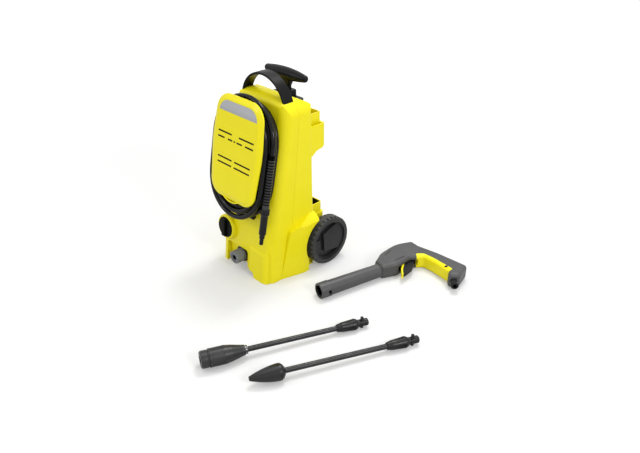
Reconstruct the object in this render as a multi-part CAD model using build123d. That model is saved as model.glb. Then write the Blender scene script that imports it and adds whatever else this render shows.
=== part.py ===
from build123d import *
import math
import os

# Pressure washer with wound hose, trigger gun and two lances, in millimetres.
# The machine faces -Y and stands on Z = 0. Left and right are as seen from the front: +X is right.

# Casing
shell_wall = 3.0
half_width_floor = 107.0
half_width_top = 101.0
shoulder_z = 493.0
shoulder_radius = 48.0
dome_z = 504.0
dome_radius = 260.0
toe_y = -127.0
knee_y = -112.3
knee_z = 140.0
front_lean = 11.7
front_top_z = 486.0
crest_y = -8.0
crest_z = 503.0
rear_y = 45.0
rear_top_z = 476.0
knee_radius = 220.0
front_top_radius = 16.0
crest_radius = 40.0
rear_top_radius = 14.0
front_corner_radius = 27.0
rear_corner_radius = 9.0
parting_gap = 0.5
parting_foot_y = -83.0
parting_knee = (-52.0, 141.0)
parting_waist = (-36.0, 157.0)
parting_shoulder = (0.0, 455.0)
parting_top_y = -9.0
foot_arch_left = -76.0
foot_arch_right = 46.0
foot_arch_height = 16.0
foot_arch_radius = 12.0
foot_bulge = 6.0
foot_bulge_left = 17.0
foot_bulge_top_z = 92.0
foot_bulge_taper = 40.0
foot_bulge_radius = 8.0
form_margin = 10.0
form_ease = 0.02
root_sink = 8.0
cut_over = 20.0

# Side fairings in front of the wheels
fairing_half_width = 126.0
fairing_rear_y = 46.0
fairing_top_z = 170.0
fairing_edge_z = 150.0
fairing_front_half_width = 105.0
fairing_wide_y = -14.0
fairing_front_run = 5.0
fairing_top_run = 16.0
fairing_top_fall = 4.0
fairing_crown = 3.0
fairing_side_radii = [0, 10.0, 14.0, 0, 0]
fairing_plan_radii = [0, 0, 60.0, 0, 0]
fairing_crown_radii = [0, 0, 26.0, 0, 0]
arch_clearance = 8.5

# Wheels
wheel_radius = 71.6
wheel_width = 32.0
wheel_outer_x = 138.4
wheel_y = 76.9
tyre_depth = 14.0
tyre_edge_radius = 5.0
lug_count = 30
lug_depth = 2.6
lug_length = 9.0
lug_gap = 5.0
hub_face_drop = 5.0
hub_web = 10.0
hub_rim = 5.0
cap_rise = 9.0
cap_cuts = [(108.0, 33.0), (184.0, 21.0), (260.0, 32.0)]
cap_edge_radius = 1.2
hub_pad_turn = 184.0
hub_pad_length = 21.0
hub_pad_width = 26.0
hub_pad_rise = 4.0
hub_pad_gap = 2.5
hub_back_drop = 3.0
axle_end_wall = 2.0
cap_gap = 0.5
cap_proud = 1.0
wheel_side_gap = 5.4
axle_radius = 8.0
axle_fit = 0.05

# Rear holders, storage cup and axle housing
holder_half_width = 98.0
holder_rear_y = 94.0
holder_low_z = 340.0
holder_sag = 12.0
holder_slope = 5.0
holder_radius = 15.0
holder_rim_z = 412.0
holder_wall = 2.6
holder_corner = 6.0
tier_corner = 3.0
cup_corner = 8.0
cup_inner_corner = 5.0
spine_corner = 10.0
housing_edge_radius = 14.0
tier_half_width = 84.0
tier_rear_y = 90.0
tier_rim_z = 440.0
pocket_floor_z = 352.0
pocket_inner_x = 36.0
cup_half_width = 82.0
cup_rear_y = 98.0
cup_rim_z = 170.0
cup_floor_z = 108.0
ledge_half_width = 84.0
ledge_rear_y = 104.0
ledge_z = 138.0
liner_wall = 2.0
liner_drop = 1.5
seat_gap = 0.2
housing_half_width = wheel_outer_x - wheel_width - wheel_side_gap
housing_rear_y = 97.0
housing_low_z = 46.0
housing_top_z = 104.0
housing_wall = 4.0
axle_bearing_length = 14.0
spine_half_width = 34.0
spine_rear_y = 72.0
spine_low_z = 190.0
spine_slope = 50.0
gland_x = -52.0
gland_z = 74.0
gland_radius = 9.0
gland_bore = 4.2
gland_sink = 10.0
gland_step = 2.0
gland_flange = 4.0
gland_length = 14.0

# Pull-out handle
stem_y = 48.0
stem_width = 28.0
stem_depth = 18.0
stem_corner = 6.0
stem_low_z = 236.0
stem_fit = 0.4
grip_axis_z = 532.0
grip_half_length = 80.0
grip_mid_radius = 16.0
grip_tip_radius = 9.5
neck_depth = 20.0
neck_width = 62.0
neck_low_z = 500.0
guide_flange_z = 469.0
guide_flange_half_width = 54.0
guide_flange_depth = 30.0
guide_flange_thickness = 5.0
guide_collar_half_width = 27.0
guide_collar_depth = 30.0
guide_collar_top_z = 492.0
guide_sleeve_wall = 2.5
guide_corner = 8.0
guide_sleeve_low_z = 330.0

# Carry handle
strap_half_span = 86.0
strap_foot_z = 470.0
strap_top_z = 550.0
strap_thickness = 6.5
strap_front_y = -34.0
strap_rear_y = -1.0
strap_corner = 2.4

# Hose and reel, on the leaning front wall: across, up the wall, and out from it
hose_od = 13.0
loop_top = 246.0
loop_bottom = 142.3
widest_run = 98.0
half_step = 8.0
layer_step = 14.0
hose_stand_off = 1.0
layer_count = 4
runs_per_layer = 4
first_drop = 3.0
last_rise = 6.0
tail_across = 107.0
tail_out = 35.0
drum_half_width = 63.0
drum_wall = 3.0

# Front cover of the reel
cover_back_out = 57.5
cover_lip = 4.0
cover_front_out = 66.5
cover_wall = 2.6
cover_top = 356.5
cover_bottom = 86.0
cover_waist = 232.0
cover_half_top = 88.0
cover_half_waist = 99.5
cover_half_bottom = 87.0
cover_top_radius = 50.0
cover_waist_radius = 320.0
cover_bottom_radius = 42.0
cover_slope = 13.0
cover_front_radius = 16.0
panel_inset = 19.0
panel_depth = 0.8
chin_top = 136.8
chin_drop = 5.0
band_radius = 4.0
badge_low = 311.5
badge_inset = 16.0
badge_thickness = 1.2
slot_height = 3.0
slot_rows = {
    257.8: [(-71.0, -16.0), (13.0, 71.0)],
    242.8: [(-71.0, -44.0), (-30.0, -12.0), (-6.0, 0.0), (6.0, 27.0), (40.0, 71.0)],
    190.8: [(-66.0, -8.0), (3.0, 66.0)],
    175.8: [(-65.0, -8.0), (3.0, 65.0)],
}
band_edges = [(296.5, 267.8), (202.8, 162.3)]

# Hose end: strain relief and plug
relief_top = 238.0
relief_length = 142.0
relief_radius = 9.0
relief_tip_radius = 8.0
relief_ribs = 17
relief_rib_depth = 1.2
relief_cuff = 8.0
collar_length = 18.0
collar_radius = 12.0
plug_length = 54.0
plug_radius = 9.6
plug_tip_length = 28.0
plug_tip_radius = 5.4
outlet_radius = 9.0
outlet_length = 24.0

# Switch and water inlet, on the lower front wall
switch_across = -75.0
switch_up = -30.0
boss_radius = 36.0
boss_out = 12.0
boss_sink = 24.0
boss_edge_radius = 5.0
knob_radius = 29.5
knob_thickness = 9.0
knob_bar_width = 15.0
knob_bar_length = 51.6
knob_edge_radius = 2.5
knob_bar_rise = 7.0
knob_gap = 0.6
knob_well = 7.0
knob_shaft_radius = 5.0
knob_shaft_length = 30.0
shaft_fit = 0.05
switch_box_size = 28.0
switch_box_depth = 26.0
switch_box_gap = 5.0
inlet_x = -20.0
inlet_z = 42.0
inlet_radius = 19.0
inlet_face_y = -146.0
inlet_bore = 6.5
inlet_bore_length = 20.0
inlet_edge_radius = 2.5
inlet_recess_radius = 11.0
inlet_recess_depth = 2.0
filter_radius = 5.2
filter_wall = 1.6
filter_length = 16.0
filter_front_y = inlet_face_y + inlet_bore_length
filter_rear_y = filter_front_y + filter_length
inlet_ring_radius = 23.0
inlet_ring_length = 6.0
bay_left = -78.0
bay_right = 12.0
bay_top = 67.0
bay_floor_y = -110.0
bay_radius = 10.0
bay_wall = 3.0
inlet_inner_y = bay_floor_y + 30.0

# Drive inside the casing
motor_y = -22.0
motor_radius = 46.0
motor_low_z = 168.0
motor_high_z = 318.0
motor_wall = 3.0
rotor_radius = 26.0
rotor_gap = 2.0
rotor_end_gap = 4.0
rotor_low_z = 178.0
rotor_high_z = 292.0
shaft_radius = 6.0
shaft_low_z = 146.0
shaft_high_z = 346.0
fan_radius = 40.0
fan_z = 326.0
fan_thickness = 14.0
fan_blades = 9
wobble_radius = 26.0
wobble_tilt = 9.0
pump_radius = 40.0
pump_wall = 6.0
pump_low_z = 34.0
pump_high_z = 164.0
piston_radius = 6.0
piston_circle = 19.0
piston_length = 46.0
piston_count = 3
piston_stroke = 6.0
piston_high_z = shaft_low_z - 4.0
port_z = 120.0
bearing_fit = 0.05
pipe_radius = 6.0
pipe_wall = 2.0
pipe_sink = 12.0
pipe_room = 1.0
tray_half_width = 97.0
tray_tab_reach = 6.0
tray_tab_rear_y = -14.0
tray_front_y = -72.0
tray_rear_y = 40.0
tray_thickness = 5.0
tray_rib_height = 18.0
tray_rib = 3.0
cradle_depth = 12.0
screw_radius = 4.0
screw_head = 2.5
screw_across = 78.0
screw_heights = (206.0, 300.0)

# Trigger gun, lying on its side: along its barrel from the muzzle, up when it is held, and across
gun_place = (239.7, -66.6)
gun_turn = 76.1
floor_gap = 0.1
muzzle_radius = 22.0
muzzle_length = 31.0
muzzle_edge_radius = 1.5
mouth_radius = 16.5
mouth_depth = 5.0
socket_radius = 12.0
socket_depth = 24.0
wing_slot_depth = 12.0
wing_slot_room = 1.0
window_width = 14.0
window_depth = 6.0
window_length = 9.0
window_inset = 3.5
barrel_front_radius = 20.5
barrel_rear_radius = 19.0
barrel_end = 190.0
barrel_bore = 8.0
gun_half_width = muzzle_radius
gun_edge_radius = 10.0
gun_fit = 0.3
handle_heel = (349.0, -154.0)
handle_toe = (322.0, -138.0)
gun_outline = [
    (barrel_end, 18.0), (228.0, 47.0), (292.0, 65.0), (344.0, 53.0), (347.0, 22.0),
    (371.0, -36.0), (399.0, -127.0), handle_heel, handle_toe, (338.0, -119.0),
    (331.0, -60.0), (324.0, -30.0), (290.0, -13.0), (238.0, -26.0), (barrel_end, -17.0),
]
gun_radii = [10.0, 60.0, 90.0, 12.0, 20.0, 200.0, 10.0, 12.0, 10.0, 10.0, 150.0, 14.0, 12.0, 12.0, 10.0]
insert_outline = [
    (311.0, -9.0), (331.0, -20.0), (341.0, -55.0), (351.0, -121.0), (310.0, -126.0), (290.0, -60.0),
]
insert_radii = [4.0, 8.0, 60.0, 4.0, 0.0, 0.0]
face_slots = [((233.0, 28.0), (258.0, 39.0)), ((242.0, -9.0), (274.0, -4.0))]
face_slot_width = 3.0
face_slot_depth = 1.5
trigger_pivot = (291.0, 3.0)
trigger_half_width = 8.0
trigger_pin_radius = 3.0
trigger_pin_inset = 5.0
trigger_room = 1.3
pin_fit = 0.05
pin_end_room = 0.5
blade_outline = [
    (268.0, -9.0), (243.0, -33.0), (228.5, -56.0), (233.0, -58.0), (247.0, -36.5), (271.0, -13.0),
]
blade_radii = [1.5, 60.0, 1.6, 1.6, 60.0, 1.5]
blade_edge_radius = 1.2
arm_outline = [
    (301.0, 6.0), (283.0, 8.0), (254.0, -28.0), (234.5, -53.0),
    (248.0, -51.0), (274.0, -42.0), (293.0, -27.0),
]
arm_radii = [5.0, 5.0, 0.0, 0.0, 3.0, 14.0, 14.0]
trigger_space = [(241.0, -80.0), (241.0, -8.0), (273.0, 14.0), (304.0, 14.0), (310.0, -4.0), (310.0, -80.0)]
trigger_space_radius = 4.0
lock_button = (344.0, -103.0)
lock_size = 8.0
lock_rise = 1.5
lock_travel = 2.5
lock_floor = -6.0
lock_edge_radius = 0.6
gun_pipe_radius = 4.0
valve_radius = 10.0
valve_start = barrel_end + 6.0
valve_length = 36.0
handle_pipe_points = [(222.0, 0.0), (238.0, 31.0), (316.0, 31.0), (338.0, 6.0), (366.0, -96.0)]
handle_pipe_bend = 8.0
hose_socket_radius = 10.5
hose_socket_bore = 5.6
hose_socket_depth = 16.0
hose_socket_length = 22.0
hose_socket_sink = 8.0
hose_socket_chamfer = 1.5

# Lances
lance_tube_radius = 6.6
lance_tube_bore = 4.0
lance_grip_radius = 14.5
lance_grip_length = 54.0
lance_grip_swell = 13.5
lance_grip_taper = 6.0
lance_grip_step = 2.5
lance_rib_count = 10
lance_rib_depth = 2.4
lance_rib_rows = 4
lance_rib_width = 12.0
plug_shaft_radius = 9.4
plug_shaft_length = 30.0
plug_wing_reach = 17.0
plug_wing_width = 7.0
plug_wing_thickness = 6.0
plug_wing_along = 14.0
plug_groove_start = 6.0
plug_groove_end = 9.0
plug_groove_depth = 1.6
plug_tip_bevel = 2.0
lance_fit = 0.4
vario_place = (242.0, -447.7)
vario_turn = 67.0
vario_nozzle_length = 105.0
vario_nozzle_radius = 22.5
vario_bore_radius = 9.0
vario_barrel_end = 56.0
vario_jet_room = 14.0
vario_jet_bore = 2.4
vario_jet_front = 3.0
vario_jet_rear = 13.6
vario_tube_start = 16.0
vario_ring_radius = 10.6
vario_ring_length = 6.0
vario_pad_count = 8
vario_pad_depth = 1.2
vario_pad_width = 9.0
vario_pad_span = (24.0, 54.0)
vario_tube_end = 338.0
rotor_place = (365.5, -404.7)
rotor_turn = 65.9
rotor_cone_length = 78.0
rotor_cone_radius = 20.5
rotor_tip_radius = 5.0
rotor_tip_wall = 2.5
rotor_flank = (0.72, 0.45)
rotor_tube_start = 14.0
rotor_collar_length = 9.0
rotor_tube_end = 336.0


lean = math.radians(front_lean)
front_wall = Plane(origin=(0, knee_y, knee_z), x_dir=(1, 0, 0), z_dir=(0, -math.cos(lean), math.sin(lean)))
foot_lean = math.atan2(knee_y - toe_y, knee_z)
lower_out = (0, -math.cos(foot_lean), math.sin(foot_lean))
lower_wall = Plane(origin=(0, knee_y, knee_z), x_dir=(1, 0, 0), z_dir=lower_out)


def face_of(points, radii):
    """A flat face with straight sides and a rounded corner of its own radius at each point."""
    return make_face(FilletPolyline(*points, radius=radii, close=True))


def side_extrude(points, radii, x_low, x_high):
    """An outline in (Y, Z) carried along X from x_low to x_high."""
    face = Plane.YZ.offset(x_low) * face_of(points, radii)
    return extrude(face, x_high - x_low)


def block(x, y, z):
    """A box between the (low, high) pairs of its three axes."""
    size = Box(x[1] - x[0], y[1] - y[0], z[1] - z[0])
    return Pos((x[0] + x[1]) / 2, (y[0] + y[1]) / 2, (z[0] + z[1]) / 2) * size


def upright(half, y_low, y_high, corner, z_low, z_high):
    """An upright bar of full width 2 * half whose two rear corners are rounded."""
    points = [(half, y_low), (half, y_high), (-half, y_high), (-half, y_low)]
    return Pos(0, 0, z_low) * extrude(face_of(points, [0, corner, corner, 0]), z_high - z_low)


def cylinder_x(radius, x_low, x_high, y, z):
    """A cylinder along X."""
    return Pos((x_low + x_high) / 2, y, z) * Rot(0, 90, 0) * Cylinder(radius, x_high - x_low)


def both_sides(part):
    """A part of the +X side together with its mirror image."""
    return part + mirror(part, about=Plane.YZ)


def wall_front_y(z):
    """The Y of the casing's front at a height."""
    if z > knee_z:
        return knee_y + (z - knee_z) * math.tan(lean)
    return toe_y + (knee_y - toe_y) * z / knee_z


def half_width(z):
    """Half the casing's width at a height."""
    return half_width_floor + (half_width_top - half_width_floor) * z / shoulder_z


def corner_wedge(inset, forward):
    """The casing's sides and leaning front carried up past its top, with the four upright edges rounded."""
    high_z = dome_z + form_margin
    rear = rear_y - inset
    half_low = half_width(-inset) - inset
    half_high = half_width(high_z) - inset
    across = [(half_low, -inset), (half_high, high_z), (-half_high, high_z), (-half_low, -inset)]
    bar = extrude(Plane.XZ.offset(-rear) * face_of(across, 0), rear - 2 * toe_y)
    shift = inset - forward
    points = [
        (toe_y + shift, -inset),
        (knee_y + shift, knee_z),
        (wall_front_y(high_z) + shift, high_z),
        (2 * rear_y, high_z),
        (2 * rear_y, -inset),
    ]
    wedge = bar & side_extrude(points, [0, knee_radius, 0, 0, 0], -2 * half_width_floor, 2 * half_width_floor)
    for at_rear, radius in ((False, front_corner_radius), (True, rear_corner_radius)):
        upright_edges = [e for e in wedge.edges() if abs(e.tangent_at(0.5).Z) > 0.5]
        corners = [e for e in upright_edges if (e.center().Y > rear - 1) == at_rear]
        wedge = fillet(corners, radius - inset)
    return wedge


def body_form(inset):
    """The casing's outer form, or the space inside it when inset by the wall."""
    out = inset - form_ease
    front_points = [
        (half_width(-out) - out, -out),
        (half_width(shoulder_z) - out, shoulder_z - out),
        (0, dome_z - out),
        (out - half_width(shoulder_z), shoulder_z - out),
        (out - half_width(-out), -out),
    ]
    front_radii = [0, shoulder_radius - out, dome_radius, shoulder_radius - out, 0]
    side_points = [
        (toe_y + out, -out),
        (knee_y + out, knee_z),
        (wall_front_y(front_top_z) + out, front_top_z - out),
        (crest_y, crest_z - out),
        (rear_y - out, rear_top_z - out),
        (rear_y - out, -out),
    ]
    side_radii = [0, knee_radius, front_top_radius - out, crest_radius, rear_top_radius - out, 0]
    across = extrude(Plane.XZ.offset(-2 * rear_y) * face_of(front_points, front_radii), 2 * rear_y - 2 * toe_y)
    profile = side_extrude(side_points, side_radii, -2 * half_width_floor, 2 * half_width_floor)
    return corner_wedge(inset, 0) & across & profile


def parting_prism(front):
    """The half of space in front of the casing's parting line, or behind it."""
    line = [
        (parting_foot_y, -10),
        (parting_foot_y, 0),
        parting_knee,
        parting_waist,
        parting_shoulder,
        (parting_top_y, dome_z + 20),
    ]
    shift = 0 if front else parting_gap
    reach = -400 if front else 400
    points = [(y + shift, z) for y, z in line]
    points = points + [(reach, dome_z + 20), (reach, -10)]
    return side_extrude(points, 0, -2 * half_width_floor, 2 * half_width_floor)


def foot_bulge_form():
    """Soft swelling low on the casing's front, on the right of the inlet bay."""
    wall = Plane(origin=(0, toe_y, 0), x_dir=(1, 0, 0), z_dir=lower_out)
    width = 2 * half_width_floor - foot_bulge_left
    height = 2 * foot_bulge_top_z
    face = Pos(foot_bulge_left + width / 2, foot_bulge_top_z - height / 2) * Rectangle(width, height)
    swell = extrude(wall.offset(-shell_wall) * face, shell_wall + foot_bulge, taper=foot_bulge_taper)
    swell = fillet(swell.faces().sort_by(Axis(wall.origin, wall.z_dir))[-1].edges(), foot_bulge_radius)
    return swell & Pos(0, 0, form_ease) * corner_wedge(form_ease, foot_bulge)


def front_shell():
    """Front half of the casing with the switch boss, the inlet bay and the arch between its feet."""
    switch = switch_axis()
    boss = switch * Pos(0, 0, (boss_out - boss_sink) / 2) * Cylinder(boss_radius, boss_out + boss_sink)
    boss = fillet(boss.edges().sort_by(Axis.Y)[0], boss_edge_radius)
    bay_outer = block(
        (bay_left - bay_wall, bay_right + bay_wall),
        (toe_y, bay_floor_y + bay_wall),
        (0, bay_top + bay_wall),
    )
    form = body_form(0)
    shell = (form + boss + foot_bulge_form()) - body_form(shell_wall)
    shell = shell + (bay_outer & form)
    bay = block((bay_left, bay_right), (toe_y - 40, bay_floor_y), (-10, bay_top))
    bay = fillet(bay.edges().filter_by(Axis.Y).group_by(Axis.Z)[-1], bay_radius)
    shell = shell - bay
    arch = block((foot_arch_left, foot_arch_right), (toe_y - 40, rear_y), (-10, foot_arch_height))
    arch = fillet(arch.edges().filter_by(Axis.Y).group_by(Axis.Z)[-1], foot_arch_radius)
    shell = shell - (arch & parting_prism(True))
    well = switch * Pos(0, 0, boss_out - knob_well / 2) * Cylinder(knob_radius + knob_gap, knob_well)
    shaft_hole = switch * Cylinder(knob_shaft_radius + knob_gap, 2 * boss_sink)
    shell = shell - well - shaft_hole
    inlet_hole = Pos(inlet_x, bay_floor_y, inlet_z) * Rot(90, 0, 0) * Cylinder(inlet_ring_radius - 3, 40)
    outlet_x, outlet_up = outlet_centre()
    outlet_hole = front_wall * Pos(outlet_x, outlet_up, 0) * Cylinder(outlet_radius - 2, 4 * shell_wall)
    return (shell - inlet_hole - outlet_hole) & parting_prism(True)


def fairing(inset):
    """Flared panel of the +X side, from the parting line back to the wheel arch, or its inside."""
    root_x = half_width_top - root_sink
    side_x = fairing_half_width - inset
    top_z = fairing_top_z - inset
    rear = fairing_rear_y - inset
    points = [
        (parting_foot_y + parting_gap + 2 * inset, -inset),
        (parting_knee[0] + parting_gap + inset, parting_knee[1] - inset),
        (rear - fairing_top_run, top_z),
        (rear, top_z - fairing_top_fall),
        (rear, -inset),
    ]
    panel = side_extrude(points, fairing_side_radii, root_x, side_x)
    plan = [
        (root_x, parting_foot_y - cut_over),
        (fairing_front_half_width - inset, parting_foot_y - fairing_front_run),
        (side_x, fairing_wide_y),
        (side_x, fairing_rear_y + cut_over),
        (root_x, fairing_rear_y + cut_over),
    ]
    panel = panel & Pos(0, 0, -inset) * extrude(face_of(plan, fairing_plan_radii), 2 * fairing_top_z)
    crown = [
        (root_x - 1, -cut_over),
        (side_x + 1, -cut_over),
        (side_x + 1, fairing_edge_z - inset),
        (half_width_top, top_z + fairing_crown),
        (root_x - 1, top_z + fairing_crown),
    ]
    crown_face = Plane.XZ.offset(-2 * fairing_rear_y) * face_of(crown, fairing_crown_radii)
    panel = panel & extrude(crown_face, 6 * fairing_rear_y)
    room = wheel_radius + arch_clearance + inset
    arch = cylinder_x(room, 0, 2 * fairing_half_width, wheel_y, wheel_radius)
    drop_y = (wheel_y - wheel_radius - inset, wheel_y)
    drop = block((0, 2 * fairing_half_width), drop_y, (-cut_over, wheel_radius))
    return panel - arch - drop


def holders():
    """Two tiers of pockets for the lances behind the casing's top, cored out from below."""
    root_y = rear_y - root_sink
    points = [
        (root_y, holder_low_z - holder_sag),
        (rear_y + holder_sag / 4, holder_low_z - holder_sag),
        (rear_y + 1.5 * holder_sag, holder_low_z),
        (holder_rear_y, holder_low_z + holder_slope),
        (holder_rear_y, holder_rim_z),
        (root_y, holder_rim_z),
    ]
    radii = [0, holder_sag / 2, holder_sag, holder_radius, 0, 0]
    low = side_extrude(points, radii, -holder_half_width, holder_half_width)
    low_z = holder_low_z - cut_over
    low = low & upright(holder_half_width, root_y - 1, holder_rear_y, holder_corner, low_z, holder_rim_z + 1)
    tier = upright(tier_half_width, root_y, tier_rear_y, tier_corner, holder_rim_z - cut_over, tier_rim_z)
    pocket = block(
        (pocket_inner_x, tier_half_width - holder_wall),
        (rear_y + shell_wall, tier_rear_y - holder_wall),
        (pocket_floor_z, tier_rim_z + cut_over),
    )
    side_pocket = block(
        (tier_half_width, holder_half_width - holder_wall),
        (rear_y + shell_wall, tier_rear_y - holder_wall),
        (pocket_floor_z, holder_rim_z + cut_over),
    )
    core = block(
        (holder_wall - pocket_inner_x, pocket_inner_x - holder_wall),
        (spine_rear_y, tier_rear_y - holder_wall),
        (low_z, tier_rim_z - holder_wall),
    )
    return low + tier - both_sides(pocket + side_pocket) - core


def spine(inset):
    """Raised back that hides the handle's stem, or the space inside it."""
    half = spine_half_width - inset
    rear = spine_rear_y - inset
    low = spine_low_z + inset
    bar = upright(half, rear_y - root_sink, rear, spine_corner - inset, low, guide_flange_z - inset)
    cut = [(rear_y, low - 1), (rear + 1, low - 1), (rear + 1, low + spine_slope)]
    return bar - side_extrude(cut, 0, -2 * spine_half_width, 2 * spine_half_width)


def axle_housing():
    """Hollow box behind the casing that carries the axle."""
    half = housing_half_width
    housing = block((-half, half), (rear_y - root_sink, housing_rear_y), (housing_low_z, housing_top_z))
    housing = fillet(housing.edges().filter_by(Axis.X).group_by(Axis.Y)[-1], housing_edge_radius)
    space = block(
        (axle_bearing_length - half, half - axle_bearing_length),
        (rear_y - housing_wall, housing_rear_y - housing_wall),
        (housing_low_z - cut_over, housing_top_z - 2 * housing_wall),
    )
    return housing - space


def rear_shell():
    """Rear half of the casing: fairings, lance holders, storage cup, axle housing and handle spine."""
    outer = body_form(0)
    inner = body_form(shell_wall)
    room = wheel_radius + arch_clearance
    well_x = min(housing_half_width, half_width(wheel_radius)) - shell_wall
    well = cylinder_x(room + shell_wall, well_x, 2 * half_width_floor, wheel_y, wheel_radius)
    shell = (outer - inner) + both_sides(well & outer)
    shell = shell & parting_prism(False)
    shell = shell + both_sides(fairing(0) - fairing(shell_wall) - inner)
    root_y = rear_y - root_sink
    cup = upright(cup_half_width, root_y, cup_rear_y, cup_corner, housing_top_z - housing_wall, cup_rim_z)
    ledge = upright(ledge_half_width, root_y, ledge_rear_y, cup_corner, housing_top_z - housing_wall, ledge_z)
    cup = cup + ledge - cup_room(holder_wall, cup_floor_z)
    shell = shell + (holders() - inner) + (cup - inner) + (axle_housing() - inner) + (spine(0) - inner)
    stem_room = sleeve_block(guide_sleeve_wall, guide_sleeve_low_z, dome_z) + spine(holder_wall)
    flange_room = block(
        (-guide_flange_half_width, guide_flange_half_width),
        (stem_y - guide_flange_depth / 2, stem_y + guide_flange_depth / 2),
        (guide_flange_z, dome_z + cut_over),
    )
    reach = 2 * housing_half_width
    axle_hole = cylinder_x(axle_radius, -reach, reach, wheel_y, wheel_radius)
    gland_hole = Pos(gland_x, housing_rear_y, gland_z) * Rot(90, 0, 0) * Cylinder(gland_radius, 2 * cut_over)
    wheel_room = cylinder_x(room, housing_half_width, reach, wheel_y, wheel_radius)
    return shell - stem_room - flange_room - axle_hole - gland_hole - both_sides(wheel_room)


def cup_room(wall, floor_z):
    """The space inside the storage cup, drawn in from the cup's outside by a wall."""
    half = cup_half_width - wall
    points = [(half, rear_y + 1), (half, cup_rear_y - wall), (-half, cup_rear_y - wall), (-half, rear_y + 1)]
    return Pos(0, 0, floor_z) * extrude(face_of(points, cup_inner_corner), cup_rim_z + cut_over - floor_z)


def sleeve_block(grow, z_low, z_high):
    """A rounded upright bar round the handle stem, larger than it by grow on every side."""
    bar = block(
        (-stem_width / 2 - grow, stem_width / 2 + grow),
        (stem_y - stem_depth / 2 - grow, stem_y + stem_depth / 2 + grow),
        (z_low, z_high),
    )
    return fillet(bar.edges().filter_by(Axis.Z), stem_corner + grow / 2)


def outlet_centre():
    """Where the pressure outlet stands on the front wall: across, and up the wall."""
    return hose_od + outlet_length / 2, loop_bottom - first_drop - widest_run


def wall_point(across, up, out):
    """A point given across the leaning front wall, up it and out from it."""
    return front_wall.from_local_coords((across, up, out))


def turned(plane, points):
    """A solid of revolution about the plane's normal, from (radius, along) points."""
    face = Plane.XZ * make_face(Polyline(*points, close=True))
    return plane * revolve(face, Axis.Z, 360)


def rod(plane, radius, low, high):
    """A cylinder along the plane's normal, from low to high."""
    return plane * Pos(0, 0, (low + high) / 2) * Cylinder(radius, high - low)


def base_tray():
    """Floor of the casing with ribs, side tabs and the cradle that holds the pump upright."""
    half = tray_half_width
    tray = block((-half, half), (tray_front_y, tray_rear_y), (0, tray_thickness))
    tabs = half + tray_tab_reach
    tray = tray + block((-tabs, tabs), (tray_front_y, tray_tab_rear_y), (0, tray_thickness))
    rib_places = (half - tray_rib, pump_radius + 2 * tray_rib)
    for x in rib_places:
        rib = block(
            (x - tray_rib / 2, x + tray_rib / 2),
            (tray_front_y + tray_rib, tray_rear_y - tray_rib),
            (tray_thickness, tray_rib_height),
        )
        tray = tray + both_sides(rib)
    axis = drive_axis()
    tray = tray + rod(axis, pump_radius + tray_rib, tray_thickness, pump_low_z + cradle_depth)
    seat = rod(axis, pump_radius, pump_low_z, pump_high_z)
    well = rod(axis, pump_radius - 2 * tray_rib, tray_thickness, pump_high_z)
    return tray - seat - well - suction_rod(pipe_radius, inlet_inner_y, motor_y)


def drive_axis():
    """The upright axis of motor and pump."""
    return Plane(origin=(0, motor_y, 0), z_dir=(0, 0, 1))


def motor_can():
    """Motor housing with its ring of windings, open inside for the rotor."""
    axis = drive_axis()
    can = rod(axis, motor_radius, motor_low_z, motor_high_z)
    can = can - rod(axis, motor_radius - motor_wall, motor_low_z + motor_wall, motor_high_z - motor_wall)
    windings = rod(axis, motor_radius - motor_wall, rotor_low_z, rotor_high_z)
    windings = windings - rod(axis, rotor_radius + rotor_gap, 0, motor_high_z)
    return can + windings - rod(axis, shaft_radius + bearing_fit, 0, 2 * motor_high_z)


def motor_rotor():
    """Turning parts of the drive: shaft, rotor pack, fan and wobble plate."""
    axis = drive_axis()
    rotor = rod(axis, shaft_radius, shaft_low_z, shaft_high_z)
    rotor = rotor + rod(axis, rotor_radius, rotor_low_z + rotor_end_gap, rotor_high_z - rotor_end_gap)
    rotor = rotor + rod(axis, 2 * shaft_radius, fan_z, fan_z + fan_thickness)
    for blade in range(fan_blades):
        vane = Pos(fan_radius / 2, 0, fan_z + fan_thickness / 2) * Box(fan_radius - 2, 2, fan_thickness)
        rotor = rotor + axis * Rot(0, 0, 360 * blade / fan_blades) * vane
    wobble = Pos(0, motor_y, shaft_low_z + 7) * Rot(wobble_tilt, 0, 0) * Cylinder(wobble_radius, 4)
    return rotor + wobble


def pump_head():
    """Pump block with its wobble chamber, three piston bores, and holes for the two pipes."""
    axis = drive_axis()
    head = rod(axis, pump_radius, pump_low_z, pump_high_z)
    head = head - rod(axis, pump_radius - pump_wall, piston_high_z, pump_high_z + 1)
    for plane in piston_planes():
        head = head - rod(plane, piston_radius, piston_high_z - piston_length, piston_high_z + 1)
    head = head - suction_rod(pipe_radius, inlet_inner_y, motor_y - pipe_sink)
    return head - rod(pressure_port(), pipe_radius - 1, -10, 60)


def piston_planes():
    """Upright axes of the pump's pistons."""
    planes = []
    for index in range(piston_count):
        turn = math.radians(360 * index / piston_count + 90)
        spot = (piston_circle * math.cos(turn), motor_y + piston_circle * math.sin(turn), 0)
        planes.append(Plane(origin=spot, z_dir=(0, 0, 1)))
    return planes


def pistons():
    """The pump's pistons, one solid each."""
    low = piston_high_z - piston_length + piston_stroke
    return [rod(plane, piston_radius, low, piston_high_z) for plane in piston_planes()]


def suction_rod(radius, y_low, y_high):
    """A bar along Y on the water inlet's axis."""
    return Pos(inlet_x, (y_low + y_high) / 2, inlet_z) * Rot(90, 0, 0) * Cylinder(radius, y_high - y_low)


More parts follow.
